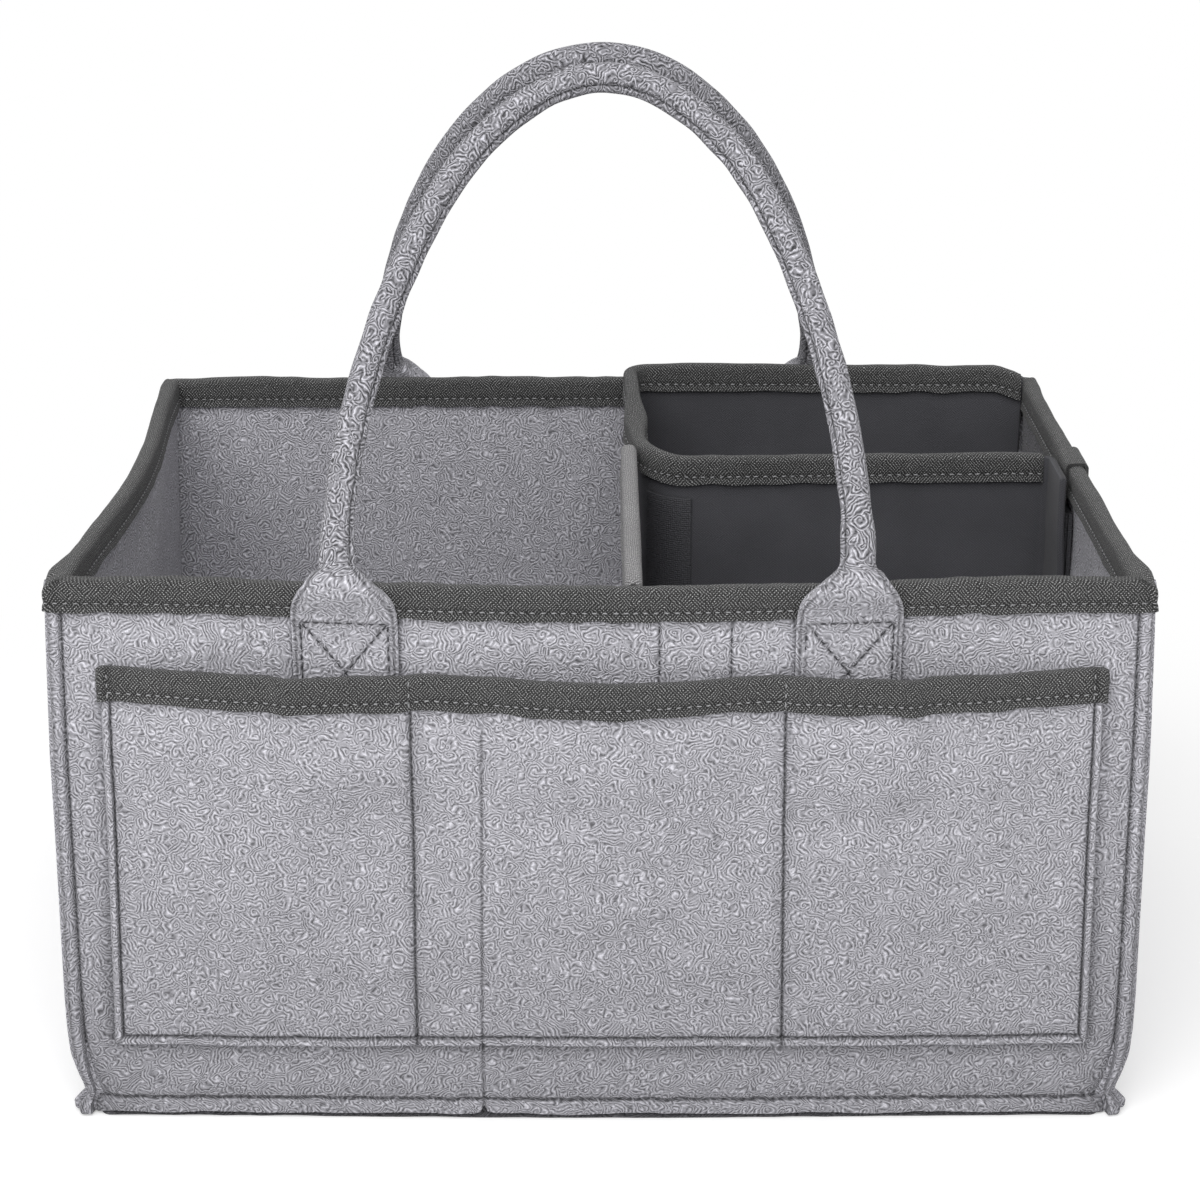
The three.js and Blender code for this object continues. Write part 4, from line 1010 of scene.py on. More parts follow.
def pocket_faces(column, height):
    """Face and back of the pocket: the back on its standoff, the face a felt's thickness out, with
    a turned hem, needle lines, mitred corners, the fold line and slow waves."""
    x = pocket_x(column, height)
    back_y = -half_depth - pocket_standoff(column, height)
    inside = hem_distance(column, height)
    from_edge = np.minimum(side_distance(column), height - pocket_bottom)
    under_tape = ease(height, hem_flat_from, hem_flat_at)
    hem = hem_extra * (1 - ease(inside, -0.0005, 0.0)) * (1 - under_tape)
    rounded = pocket_round * np.clip(1 - from_edge / pocket_round, 0, 1) ** 2
    needle = hem_needle * dip(inside - hem_needle_in, hem_needle_wide)
    for line in pocket_seams:
        needle = needle + seam_needle * dip(column - line, seam_needle_wide)
    fold = pocket_fold * dip(column - crease_x, crease_wide)
    soft = ease(inside, 0.0, 0.03) * ease(pocket_height - height, 0.012, 0.030)
    slow = 0.0007 * waves(61, 0.075)(x, height) + 0.00025 * waves(62, 0.022)(x, height)
    puckers = 0.00020 * waves(63, 0.007)(x, height) * np.exp(-np.abs(inside) / 0.003) * (1 - under_tape)
    out = felt_thick + hem + slow * soft + puckers - rounded - needle - fold
    foot_wave = 0.00012 * waves(64, 0.03)(x, 0 * x) * (1 - ease(from_edge, 0, 0.01))
    notch = 0.0012 * dip(column - crease_x, 0.0012) * (1 - ease(height - pocket_bottom, 0, 0.004))
    sag = np.interp(column, foot_at, foot_sags) * (1 - ease(height - pocket_bottom, 0.004, 0.030))
    z = height + foot_wave + notch - sag
    return placed(x, back_y - out, z), placed(x, back_y, z)


def pocket_painted_shade(column, height):
    """Painted shade on the pocket's face: its needle lines, the hem's mitres and the fold line."""
    inside = hem_distance(column, height)
    painted_shade = 0.95 * dip(inside - hem_needle_in, hem_needle_wide) + 0.12 * fading(inside, 0.002)
    for line in pocket_seams:
        painted_shade = painted_shade + 0.9 * dip(column - line, needle_wide) + 0.15 * dip(column - line, 0.0030)
    mitre = side_distance(column) / side_hem - (height - pocket_bottom) / foot_hem
    painted_shade = painted_shade + 0.6 * dip(mitre, 0.18) * (inside < 0) * (height < pocket_bottom + foot_hem)
    painted_shade = painted_shade + 0.6 * dip(column - crease_x, needle_wide) * (height < 0.15)
    return np.clip(painted_shade, 0, 1)


hem_lines = (pocket_left + side_hem, pocket_right - side_hem)
pocket_columns = stations(pocket_left, pocket_right, 0.0022, (*hem_lines, *pocket_seams, crease_x), 0.0003)
pocket_columns = np.sort(np.concatenate([pocket_columns, [pocket_right - 0.0005, pocket_left + 0.0005]]))
pocket_rows = heights_between(
    pocket_bottom, pocket_height - tape_stack, 0.0022, (pocket_bottom + foot_hem,), 0.0009)
column_grid, row_grid = np.meshgrid(pocket_columns, pocket_rows)
mouth_share = ease(row_grid, 0.10, pocket_height)
row_grid = row_grid + mouth_share * (pocket_top(column_grid) - pocket_height)
pocket_face, pocket_back = (settle(points) for points in pocket_faces(column_grid, row_grid))
pocket = loft("front_pocket_felt", cloth_rings(pocket_face, pocket_back, 0.0004), felt,
              crevice_shade=face_painted_shade(pocket_painted_shade(column_grid, row_grid)))
fasten(pocket, "root", "felt", "front_pocket")


# Pocket tape: the same binding folded over the pocket's mouth. It runs a little past both sides,
# where its ends are turned in and rounded, and it is pressed in where the seams cross it.
tape_over = 0.0018
over = tape_over * np.array([0.4, 0.8, 1])
tape_columns = np.concatenate([pocket_left - over[::-1], pocket_columns, pocket_right + over])
tape_columns = tape_columns[np.concatenate([[True], np.diff(tape_columns) > 0.0003])]
tape_x = pocket_x(tape_columns, pocket_height)
standoff = half_depth + pocket_standoff(tape_columns, pocket_height + 0 * tape_columns)
past_edge = np.maximum(tape_columns - pocket_right, pocket_left - tape_columns)
end_press = 0.0009 * dip(past_edge + side_hem, 0.0009)
end_round = 0.0012 * np.clip(past_edge / tape_over, 0, 1) ** 2
pressed_in = end_press + end_round
for seam in pocket_seams:
    pressed_in = pressed_in + 0.0006 * dip(tape_columns - seam, 0.0012)
pocket_outer = on_plan(tape_x, pressed_in - standoff - felt_thick - tape_stack)
pocket_inner = on_plan(tape_x, tape_stack - standoff - end_round)
pocket_tape_rings = settle(folded_tape(
    pocket_outer, pocket_inner, pocket_top(tape_columns) - 0.6 * end_round, 71))
# Painted shade along the tape's needle line and in the crease near each turned-in end.
pocket_tape_painted_shade = np.maximum(tape_painted_shade(len(tape_x)), 0.9 * dip(past_edge + side_hem, 0.0007)[:, None])
pocket_tape = loft("front_pocket_tape", pocket_tape_rings, tape, crevice_shade=pocket_tape_painted_shade)
fasten(pocket_tape, "root", "binding", "pocket_binding")


# Handles: each is one felt strip, folded in two. Its ends lie flat and are sewn to the wall as
# tabs. Between them it closes round a cord, and its edges are sewn together as an inner lip. The
# cord follows the middle of the roll and starts a little above the rim.
tab_bottom = 0.144
shoulder_foot = 0.188
shoulder_top = rim_height + 3 * fit_gap
tab_ramp = 0.0045
shoulder_at = np.array([0.0, 2.6, 5.4, 7.3, 9.2, 11.1, 12.4, 13.6, 15.2, 16.9, 18.5, 20.2]) / 1000
shoulder_half = np.array([17.35, 17.1, 16.5, 15.5, 14.3, 12.5, 10.5, 8.8, 7.4, 6.4, 5.9, 5.6]) / 1000
shoulder_end, thick_end = 0.0215, 0.0138
roll_start, roll_end = 0.006, 0.022
arch_root_x, root_x, root_reach = 0.0865, 0.0859, 0.028
arch_swell, swell_full, swell_fades = 0.0018, 0.07, 0.145
arch_reach, arch_drop = 0.181, 0.045
arch_lean = math.radians(37.2)
roll_radius, neck_radius = 0.0048, 0.0056
roll_back = half_depth + tape_stack + fit_gap
section_points = 160
lip_angles = np.radians([0, 4, 10, 16, 23, 31, 36, 42, 52, 90, 180])
lip_radii = np.array([5.15, 5.40, 5.45, 5.40, 5.15, 4.70, 4.30, 4.50, 4.78, 4.80, 4.80]) / 4.8
groove_angle = math.radians(36)
lip_turn = math.radians(13)
back_root_out = 0.0030


def half_handle(side):
    """Stations from the foot of the left tab to the crown, in straight places: centre, lean, how
    far the strip is rolled, its half width and half thickness, the share of the climb, and the
    number of the station where the arch begins. The arch is part of an ellipse."""
    z = heights_between(tab_bottom, shoulder_top, 0.0008, (), 0.0009)
    ramp = np.clip((z - shoulder_foot + tab_ramp) / tab_ramp, 0, 1)
    back = half_depth + fit_gap + (roll_back - half_depth - fit_gap) * ramp

    height = arch_reach + arch_drop
    across = arch_root_x / math.sqrt(1 - (arch_drop / height) ** 2)
    angle = np.linspace(math.asin(arch_drop / height), math.pi / 2, 140)[1:]
    along = height * np.sin(angle) - arch_drop
    near_root = 1 - ease(along, 0, root_reach)
    x = -across * np.cos(angle) + (arch_root_x - root_x) * near_root
    if side < 0:
        x -= arch_swell * ease(along, 0, swell_full) * (1 - ease(along, swell_fades, arch_reach))
    root_y = roll_back + neck_radius
    arch_y = side * (root_y - along * math.sin(arch_lean))
    arch = placed(x, arch_y, shoulder_top + along * math.cos(arch_lean))

    travelled = np.concatenate([z - shoulder_foot, shoulder_top - shoulder_foot + along])
    radius = roll_radius + (neck_radius - roll_radius) * np.concatenate([1 + 0 * z, near_root])
    on_shoulder = travelled < shoulder_at[-1]
    half_wide = np.where(on_shoulder, np.interp(travelled, shoulder_at, shoulder_half), radius)
    half_wide[1:-1] = (half_wide[:-2] + half_wide[1:-1] + half_wide[2:]) / 3
    half_thick = felt_thick / 2 + (radius - felt_thick / 2) * ease(travelled, 0.0, thick_end)
    tab = placed(-root_x, side * (back + half_thick[:len(z)]), z)
    climbed = np.concatenate([0 * z, np.sin(angle) ** 2])
    centre = np.concatenate([tab, arch])
    centre[:, 0] += (root_x - tab_center) * (1 - ease(travelled, 0.0075, shoulder_end))
    if side > 0:
        centre[:, 0] -= back_root_out * ease(travelled, 0.0, shoulder_end) * (1 - climbed)
    return (centre, arch_lean * (travelled > shoulder_top - shoulder_foot),
            ease(travelled, roll_start, roll_end), half_wide, half_thick, climbed, len(z))


def softened(values, spread, count):
    """Values along a line, averaged with their neighbours round one station by a bell."""
    reach = np.arange(-3 * spread, 3 * spread + 1)
    bell = np.exp(-0.5 * (reach / spread) ** 2)
    bell /= bell.sum()
    padded = np.pad(values, (len(reach) // 2,) * 2, mode="edge")
    smooth = np.convolve(padded, bell, mode="valid")
    share = 1 - ease(np.abs(np.arange(len(values)) - count), 3 * spread, 6 * spread)
    return values + (smooth - values) * share


def handle_section(half_wide, half_thick, roll):
    """Outline of the strip at one station, starting on its inner side: a flat squared oval that
    turns into a round roll with a two-layer lip, which is turned a little to the underside. The
    points are spaced evenly, and the painted shade of their crevices comes with them."""
    angle = np.linspace(0, 2 * np.pi, 721)
    power = 2 / (7 - 5 * roll)
    inner = half_wide * np.sign(np.cos(angle)) * np.abs(np.cos(angle)) ** power
    out = half_thick * np.sign(np.sin(angle)) * np.abs(np.sin(angle)) ** power
    layers = 0.0004 * dip(out, 0.0005) * (1 - roll)
    inner = inner - np.sign(inner) * layers * (np.abs(inner) > 0.9 * half_wide)
    folded = np.abs(np.angle(np.exp(1j * angle)))
    lipped = half_thick * np.interp(folded, lip_angles, lip_radii)
    share = ease(roll, 0.60, 1.0)
    # A line just inside each edge of the flat strip's outer face: it is dented a little and darkened by
    # painted shade.
    crevice_shade = dip(np.abs(inner) - half_wide + 0.0014, 0.0005) * (out > 0) * (1 - share)
    out = out - 0.0004 * crevice_shade
    inner = inner + (lipped * np.cos(angle) - inner) * share
    out = out + (lipped * np.sin(angle) - out) * share
    turned = lip_turn * share
    inner, out = inner * np.cos(turned) + out * np.sin(turned), out * np.cos(turned) - inner * np.sin(turned)
    # Painted shade: darker along the tab's edge line and in the groove beside the lip.
    crevice_shade = 0.7 * crevice_shade + 0.75 * share * dip(folded - groove_angle, 0.07)
    length = np.concatenate([[0], np.hypot(np.diff(inner), np.diff(out)).cumsum()])
    even = np.linspace(0, length[-1], section_points + 1)[:-1]
    return [np.interp(even, length, values) for values in (inner, out, crevice_shade)]


def tab_lines():
    """The needle lines of a tab's boxed cross, in its own middle and height: start and end."""
    wide, low, high = 0.0142, 0.1513, 0.1865
    left_low, right_low = (-wide, low), (wide, low)
    left_high, right_high = (-wide, high), (wide, high)
    return [(left_low, left_high), (left_high, right_high), (right_high, right_low), (right_low, left_low),
            (left_low, right_high), (left_high, right_low)]


def distance_to(x, z, line):
    """Distance of points from a straight needle line."""
    (x0, z0), (x1, z1) = line
    length = math.hypot(x1 - x0, z1 - z0)
    share = np.clip(((x - x0) * (x1 - x0) + (z - z0) * (z1 - z0)) / length**2, 0, 1)
    return np.hypot(x - x0 - share * (x1 - x0), z - z0 - share * (z1 - z0))


def handle_rings(side, sway, seed):
    """A whole handle from tab to tab, in real places: the felt's rings, how far each is rolled,
    their painted shade, and the rings of the cord inside."""
    centre, lean, roll, half_wide, half_thick, climbed, joint = half_handle(side)
    lean = softened(lean, 5, joint)
    for axis in range(3):
        centre[:, axis] = softened(centre[:, axis], 4, joint)
    mirror = centre[::-1][1:] * (-1, 1, 1)
    centre = np.concatenate([centre, mirror])
    tab_in = right_tab_in * (side < 0)
    shift = np.concatenate([sway * climbed, (sway * climbed - tab_in * (1 - climbed))[::-1][1:]])
    lean, roll, half_wide, half_thick = (
        np.concatenate([values, values[::-1][1:]]) for values in (lean, roll, half_wide, half_thick))
    travel = unit(np.gradient(centre, axis=0))
    outward = placed(0 * lean, side * np.cos(lean), np.sin(lean))
    squared = ease(roll, 0.55, 1.0)[:, None]
    level = placed(-np.sign(centre[:, 0] + 1e-9), 0, 0)
    inner_way = unit(np.cross(travel, outward) * -side * squared + level * (1 - squared))
    sections = np.array([handle_section(*values) for values in zip(half_wide, half_thick, roll)])
    inner, out, crevice_shade = np.moveaxis(sections, 1, 0)
    arc = run_along(centre)
    hoop = np.linspace(0, 2 * np.pi, section_points, endpoint=False)
    uneven = waves(seed, 0.018)(arc[:, None], 0.006 * np.sin(hoop)) * ease(roll, 0.6, 1)[:, None]
    inner, out = inner * (1 + 0.018 * uneven), out * (1 + 0.018 * uneven)
    points = centre[:, None] + inner[..., None] * inner_way[:, None] + out[..., None] * outward[:, None]
    level_middle = points.mean(axis=1)
    local = np.abs(points[..., 0]) - tab_center
    on_tab = (out > 0) & (roll[:, None] < 0.3)
    pressed = 0 * local
    for line in tab_lines():
        pressed = np.maximum(pressed, dip(distance_to(local, points[..., 2], line), 0.0006))
    points[..., 1] -= side * 0.0004 * pressed * on_tab
    # Painted shade along the tab's needle lines.
    crevice_shade = np.maximum(crevice_shade, 0.5 * pressed * on_tab)
    wave = 0.0004 * waves(seed + 1, 0.02)(points[..., 0], points[..., 2])
    points[..., 1] += side * np.abs(wave) * (roll[:, None] < 0.3) * 0.5
    bow = front_bow if side < 0 else back_bow
    flat = 1 - ease(roll, 0.3, 1.0)[:, None]
    at_x = points[..., 0] * flat + np.sign(points[..., 0]) * arch_root_x * (1 - flat)
    rise = np.clip((points[..., 2] - base_top) / (rim_height - base_top), 0, 1)
    points[..., 1] += mid_y + side * bow * np.cos(at_x / (2 * half_width) * np.pi) ** 2 * rise
    points[..., 0] += shift[:, None]
    middle = centre + points.mean(axis=1) - level_middle
    turn = np.linspace(0, 2 * np.pi, 24, endpoint=False)[:, None]
    around = np.cos(turn) * inner_way[:, None] + np.sin(turn) * outward[:, None]
    cord = middle[:, None] + cord_thick / 2 * around
    return points, roll, crevice_shade, cord[middle[:, 2] > cord_bottom]


rolled_felt = felt_material(
    "rolled_felt", felt_screen, loop=0.0050, spacing=0.00134, contrast=1.45, depth=0.00042, stretched=1.2)
blend_start, blend_end = 0.189, 0.1985
cord_thick, cord_bottom = 0.0046, 0.207


def cord_material():
    """Cotton cord: pale plied strands that run round it at a slant."""
    material, tree = new_material("cotton_cord")
    place = node(tree, "TexCoord").outputs["Object"]
    strands = node(tree, "TexWave", {
        "Vector": place, "Scale": 260.0, "Distortion": 3.0}, bands_direction="DIAGONAL").outputs[1]
    tone = mixed(tree, strands, screen(188, 182, 168), screen(226, 221, 208))
    return finished(material, tone, 0.9, strands, depth=0.0003, strength=0.7)


cotton = cord_material()


def handle(name, side, sway, body, nodes, seed, roll_shade=0.0):
    """One handle with its two tabs and its cord. sway shifts its crown sideways, and a painted shade
    of the given amount darkens the whole roll, for a handle that lies in shadow. Returns the felt's
    rings and rolls."""
    rings, roll, crevice_shade, cord_rings = handle_rings(side, sway, seed)
    # Painted shade: the whole roll of this handle is darkened, as it lies in shadow.
    crevice_shade = crevice_shade + roll_shade * roll[:, None]
    piece = loft(name, rings, rolled_felt, crevice_shade=crevice_shade)
    rolled = piece.data.attributes.new("rolled", "FLOAT", "POINT")
    rolled.data.foreach_set("value", np.repeat(roll, section_points))
    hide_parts(*nodes)
    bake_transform(piece)
    cord = loft(name.replace("felt", "cord"), cord_rings, cotton)
    fasten(cord, body, "cord", body + "_core")
    return rings, roll


front_handle_rings, handle_roll = handle(
    "front_handle_felt", side=-1, sway=0.0015, body="front_handle",
    nodes=("front_tab_left", "front_tab_right", "front_handle"), seed=81)
back_handle_rings, _ = handle(
    "back_handle_felt", side=1, sway=0.0004, body="back_handle",
    nodes=("back_tab_left", "back_tab_right", "back_handle"), seed=91, roll_shade=0.07)


# Lift-out divider: an upright felt panel from the front wall back to the bin, bound with paler
# tape. Its front end turns along the wall, where hook and loop strips hold it.
divider_x, divider_end, divider_bend = 0.0108, 0.029, 0.006
flange_end = 0.046
strip_thick, strip_inset, strip_width = 0.0015, 0.001, 0.027
strip_bottom, strip_top = 0.085, 0.184
divider_clearance = 0.0022
loop_y = -half_depth + felt_thick + fit_gap
hook_y = loop_y + strip_thick + fit_gap
flange_y = hook_y + strip_thick + fit_gap + felt_thick / 2
lining_bottom = base_top + felt_thick + 2 * fit_gap


def straight(start, end, step=0.0028):
    """Plan points along a straight stretch."""
    start, end = np.array(start), np.array(end)
    count = max(2, round(np.linalg.norm(end - start) / step) + 1)
    return start + (end - start) * np.linspace(0, 1, count)[:, None]


def bent(centre, radius, start, end, count=9):
    """Plan points round part of a circle, from one angle in degrees to another."""
    angle = np.radians(np.linspace(start, end, count))
    return np.array(centre) + radius * on_plan(np.cos(angle), np.sin(angle))


def beside(line, distance):
    """A plan line moved sideways, to the right of its direction."""
    way = unit(np.gradient(line, axis=0))
    return line + distance * on_plan(way[:, 1], -way[:, 0])


def upright_sheet(name, line, thickness, top, material, seed):
    """A panel that stands on its plan line, from just above the board to its own top edge, with
    slow waves that fade at its foot and under its tape."""
    rows = heights_between(0.0, 1.0, 0.02, (), 0.004)
    share = rows[:, None]
    height = lining_bottom + share * (top - lining_bottom)
    slow = 0.0004 * waves(seed, 0.06)(run_along(line)[None, :], height)
    slow = slow * ease(share, 0, 0.3) * ease(-share, -0.97, -0.8)
    faces = []
    for distance in (thickness / 2, -thickness / 2):
        plan = beside(line, distance)
        points = np.broadcast_to(plan, (len(rows), *plan.shape))
        way = (beside(line, 1.0) - line)[None] * slow[..., None]
        faces.append(settle(placed(points[..., 0] + way[..., 0], points[..., 1] + way[..., 1], height)))
    return loft(name, cloth_rings(*faces), material)


bend = (divider_x + divider_bend, flange_y + divider_bend)
divider_line = np.concatenate([
    straight((flange_end, flange_y), (bend[0], flange_y))[:-1],
    bent(bend, divider_bend, 270, 180)[:-1],
    straight((divider_x, bend[1]), (divider_x, divider_end))])
past_bend = ease(divider_line[:, 1], flange_y + divider_bend - 0.002, flange_y + divider_bend)
divider_top = strip_top + (felt_top - strip_top) * past_bend
divider = upright_sheet("front_divider_felt", divider_line, felt_thick, divider_top, felt, 101)
fasten(divider, "front_divider", "felt", "front_divider")

pale_tape = woven_material("pale_tape", (133, 132, 133), pitch=0.00120, contrast=1.7, depth=0.00032)


def tape_along(name, line, thickness, top, material, seed, rounded=0.0, swell=0.0, height=tape_height):
    """Tape folded over the top edge of an upright panel, its ends narrowed and lowered where they
    are turned in, and standing off by the swell where it is slack. Returns the piece and its rings."""
    along = run_along(line)
    from_end = np.minimum(along, along[-1] - along)
    narrow = rounded * np.clip(1 - from_end / 0.003, 0, 1) ** 2
    reach = (thickness / 2 + tape_stack) * (1 - narrow) + swell
    outer, inner = beside(line, 1.0) - line, line - beside(line, 1.0)
    outer, inner = line + outer * reach[:, None], line + inner * reach[:, None]
    rings = settle(folded_tape(outer, inner, top - 0.003 * narrow, seed, height=height))
    return loft(name, rings, material, crevice_shade=tape_painted_shade(len(rings), height)), rings


divider_start = -half_depth + felt_thick + tape_stack + divider_clearance
divider_tape_line = straight((divider_x, divider_start), (divider_x, divider_end + fit_gap), 0.0018)
divider_tape, divider_tape_rings = tape_along(
    "front_divider_tape", divider_tape_line, felt_thick, np.full(len(divider_tape_line), rim_height),
    pale_tape, 111, rounded=0.3)
fasten(divider_tape, "front_divider", "pale_binding", "front_divider_binding")


def strip_material(name, colour, pitch):
    """Hook or loop tape: rows of tiny stubs on a dark ribbed ground."""
    material, tree = new_material(name)
    place = node(tree, "TexCoord").outputs["UV"]
    stubs = node(tree, "TexVoronoi", {
        "Vector": place, "Scale": 1 / pitch, "Randomness": 0.35}).outputs["Distance"]
    fuzz = noise(tree, place, 1500.0)[0]
    height = maths(tree, "MULTIPLY_ADD", fuzz, 0.4, maths(tree, "SUBTRACT", 1.0, stubs))
    tone = mixed(tree, height, screen(18, 18, 20), screen(*colour))
    return finished(material, tone, 0.75, height, depth=0.0006)


hooks = strip_material("hook_tape", (60, 60, 63), 0.0012)
loops = strip_material("loop_tape", (74, 74, 78), 0.0008)


def flat_strip(name, near, far, material, body, node_name):
    """A length of fastener tape on its plan lines, from the strips' foot to their top."""
    rows = heights_between(strip_bottom, strip_top, 0.004, (), 0.0006)
    faces = [settle(placed(line[None, :, 0], line[None, :, 1], rows[:, None])) for line in (near, far)]
    strip = loft(name, cloth_rings(*faces, 0.0002), material)
    fasten(strip, body, "fastener_strip", node_name)


strip_left = flange_end - strip_inset - strip_width
for strip_name, face_y, strip_kind, strip_body, strip_node in (
    ("divider_hook_tape", hook_y, hooks, "front_divider", "divider_hook_strip"),
    ("divider_loop_tape", loop_y, loops, "root", "divider_loop_strip"),
):
    near = straight((strip_left, face_y), (strip_left + strip_width, face_y))
    flat_strip(strip_name, near, near + (0, strip_thick), strip_kind, strip_body, strip_node)


# Rear bin: one charcoal panel that turns along the right wall, crosses the caddy, swings round to
# the back wall and runs along it to the right corner, bound along its whole top edge.
lining_thick = 0.0025
cross_y, cross_tilt, cross_start = 0.013, 0.005, 0.036
run_x, run_back_x, turn_end = 0.0146, 0.0122, 0.046
back_corner_radius, back_gap, bin_end = 0.007, 0.0032, 0.1712
bin_flange, bin_flange_radius, bin_rise = 0.024, 0.004, 0.0070
bin_end_drop, bin_end_reach = 0.0030, 0.012
slack_out, slack_y, slack_reach = 0.0018, 0.064, 0.011
bin_tape_height = 0.0104
side_loop_x = half_width - felt_thick - fit_gap
side_hook_x = side_loop_x - strip_thick - fit_gap
bin_flange_x = side_hook_x - strip_thick - fit_gap - lining_thick / 2
bin_back_y = half_depth - felt_thick - back_gap - lining_thick / 2
cross_end_y = cross_y + cross_tilt


def swing(start, first, second, end, count=22):
    """Plan points of a cubic curve with two handles."""
    share = np.linspace(0, 1, count)[:, None]
    rest = 1 - share
    parts = (rest**3, 3 * rest**2 * share, 3 * rest * share**2, share**3)
    return sum(part * np.array(point) for part, point in zip(parts, (start, first, second, end)))


def bin_line():
    """Plan line of the bin from its flange on the right wall to its end in the back corner."""
    side_bend = (bin_flange_x - bin_flange_radius, cross_end_y - bin_flange_radius)
    back_bend = (run_back_x + back_corner_radius, bin_back_y - back_corner_radius)
    return np.concatenate([
        straight((bin_flange_x, side_bend[1] - bin_flange), (bin_flange_x, side_bend[1]))[:-1],
        bent(side_bend, bin_flange_radius, 0, 90)[:-1],
        straight((side_bend[0], cross_end_y), (cross_start, cross_y))[:-1],
        swing((cross_start, cross_y), (cross_start - 0.6 * (cross_start - run_x), cross_y),
              (run_x, turn_end - 0.6 * (turn_end - cross_y)), (run_x, turn_end))[:-1],
        straight((run_x, turn_end), (run_back_x, back_bend[1]))[:-1],
        bent(back_bend, back_corner_radius, 180, 90)[:-1],
        straight((back_bend[0], bin_back_y), (bin_end, bin_back_y))])


lining = woven_material("dark_lining", (74, 74, 78), pitch=0.0010, contrast=0.45, depth=0.00015)
bin_plan = bin_line()
bin_top = rim_height + bin_rise * ease(bin_plan[:, 1], turn_end, bin_back_y - back_corner_radius)
bin_end_low = ease(bin_plan[:, 0], bin_end - bin_end_reach, bin_end) * (bin_plan[:, 1] > turn_end)
bin_top -= bin_end_drop * bin_end_low
on_flange = bin_plan[:, 0] > bin_flange_x - bin_flange_radius / 2
on_flange &= bin_plan[:, 1] < bin_back_y / 2
bin_felt = upright_sheet("rear_bin_panel", bin_plan, lining_thick, bin_top - tape_stack, lining, 121)
fasten(bin_felt, "root", "dark_lining", "rear_bin")

bin_tape_plan = bin_plan[~on_flange]
slack = slack_out * dip(bin_tape_plan[:, 1] - slack_y, slack_reach) * (bin_tape_plan[:, 0] < 0.02)
bin_tape, bin_tape_rings = tape_along(
    "rear_bin_tape", bin_tape_plan, lining_thick, bin_top[~on_flange], tape, 131,
    rounded=0.3, swell=slack, height=bin_tape_height)
fasten(bin_tape, "root", "binding", "rear_bin_binding")

join_width, join_thick = 0.010, 0.0012
join_plan = bin_plan[(bin_plan[:, 0] < cross_start) & (bin_plan[:, 1] < cross_y + join_width)]
near_gap = lining_thick / 2 + fit_gap
flat_strip("bin_join_tape", beside(join_plan, -near_gap), beside(join_plan, -near_gap - join_thick),
           loops, "root", "bin_join_strip")

tab_tape_width, tab_tape_drop, tab_tape_over = 0.021, 0.014, 0.0025
strip_end = cross_end_y - bin_flange_radius
for strip_name, face_x, strip_kind, strip_node in (
    ("side_loop_tape", side_loop_x, loops, "side_loop_strip"),
    ("side_hook_tape", side_hook_x, hooks, "side_hook_strip"),
):
    near = straight((face_x, strip_end - tab_tape_width), (face_x, strip_end))
    flat_strip(strip_name, near, near - (strip_thick, 0), strip_kind, "root", strip_node)

tab_line_y = np.linspace(cross_end_y + tab_tape_over - tab_tape_width, cross_end_y + tab_tape_over, 14)
tab_outer = on_plan(half_width + tape_stack + tape_thick, tab_line_y)
tab_inner = on_plan(half_width - felt_thick - tape_stack - tape_thick, tab_line_y)
tab_tops = np.full(len(tab_line_y), rim_height + tape_thick)
rim_tab_rings = settle(folded_tape(tab_outer, tab_inner, tab_tops, 141, height=tab_tape_drop))
rim_tab = loft("bin_rim_tape", rim_tab_rings, tape)
fasten(rim_tab, "root", "binding", "bin_rim_tab")


# Stitching: dark thread on felt and light thread on tape, in stitches about 2 mm long whose ends
# dive into the cloth.
stitch_sides, stitch_rings = 6, 5
thread_thick = 0.00055


def thread_material(name, colour):
    """Polyester thread, two plies with a slight sheen and uneven tone."""
    material, tree = new_material(name)
    place = node(tree, "TexCoord").outputs["Object"]
    uneven = noise(tree, place, 1800.0, 1.0)[0]
    low, high = (tuple(np.clip(np.array(colour) * share, 0, 255)) for share in (0.75, 1.2))
    tone = mixed(tree, uneven, screen(*low), screen(*high))
    return finished(material, tone, 0.6, uneven, depth=0.0001, strength=0.6)


dark_thread = thread_material("dark_thread", (50, 50, 54))
light_thread = thread_material("light_thread", (150, 150, 152))


def stitch_line(line, normals, random, stitch=0.0024, gap=0.0009):
    """Points of every stitch along a sewn line, as (stitch, ring, side, 3): a spindle that rises
    out of the cloth and dives back by a sine, with small uneven shifts."""
    line = np.asarray(line, float)
    normals, way = unit(np.asarray(normals, float)), unit(np.gradient(line, axis=0), no_length)
    length = run_along(line)
    count = max(1, int(length[-1] / (stitch + gap)))
    pitch = length[-1] / count
    starts = np.arange(count) * pitch + random.uniform(0.3, 0.7, count) * (pitch - stitch)
    share = np.linspace(0, 1, stitch_rings)
    at = starts[:, None] + stitch * random.uniform(0.85, 1.1, count)[:, None] * share

    def along(values):
        """Values of the line, read off at every ring of every stitch."""
        return np.stack([np.interp(at, length, values[:, axis]) for axis in range(3)], -1)

    place, normal, travel = along(line), along(normals), along(way)
    side = np.cross(travel, normal)
    lean = random.uniform(-0.00018, 0.00018, count)[:, None] * (2 * share - 1)
    swell = np.sin(share * np.pi)
    radius = thread_thick / 2 * (0.45 + 0.55 * swell)
    rise = 0.00012 * swell - 0.0004 * (1 - swell)
    angle = np.linspace(0, 2 * np.pi, stitch_sides, endpoint=False)
    up = rise[:, None] + radius[:, None] * np.cos(angle)
    sideways = lean[..., None] + radius[:, None] * np.sin(angle)
    raised = place[:, :, None] + normal[:, :, None] * up[None, ..., None]
    return raised + side[:, :, None] * sideways[..., None]


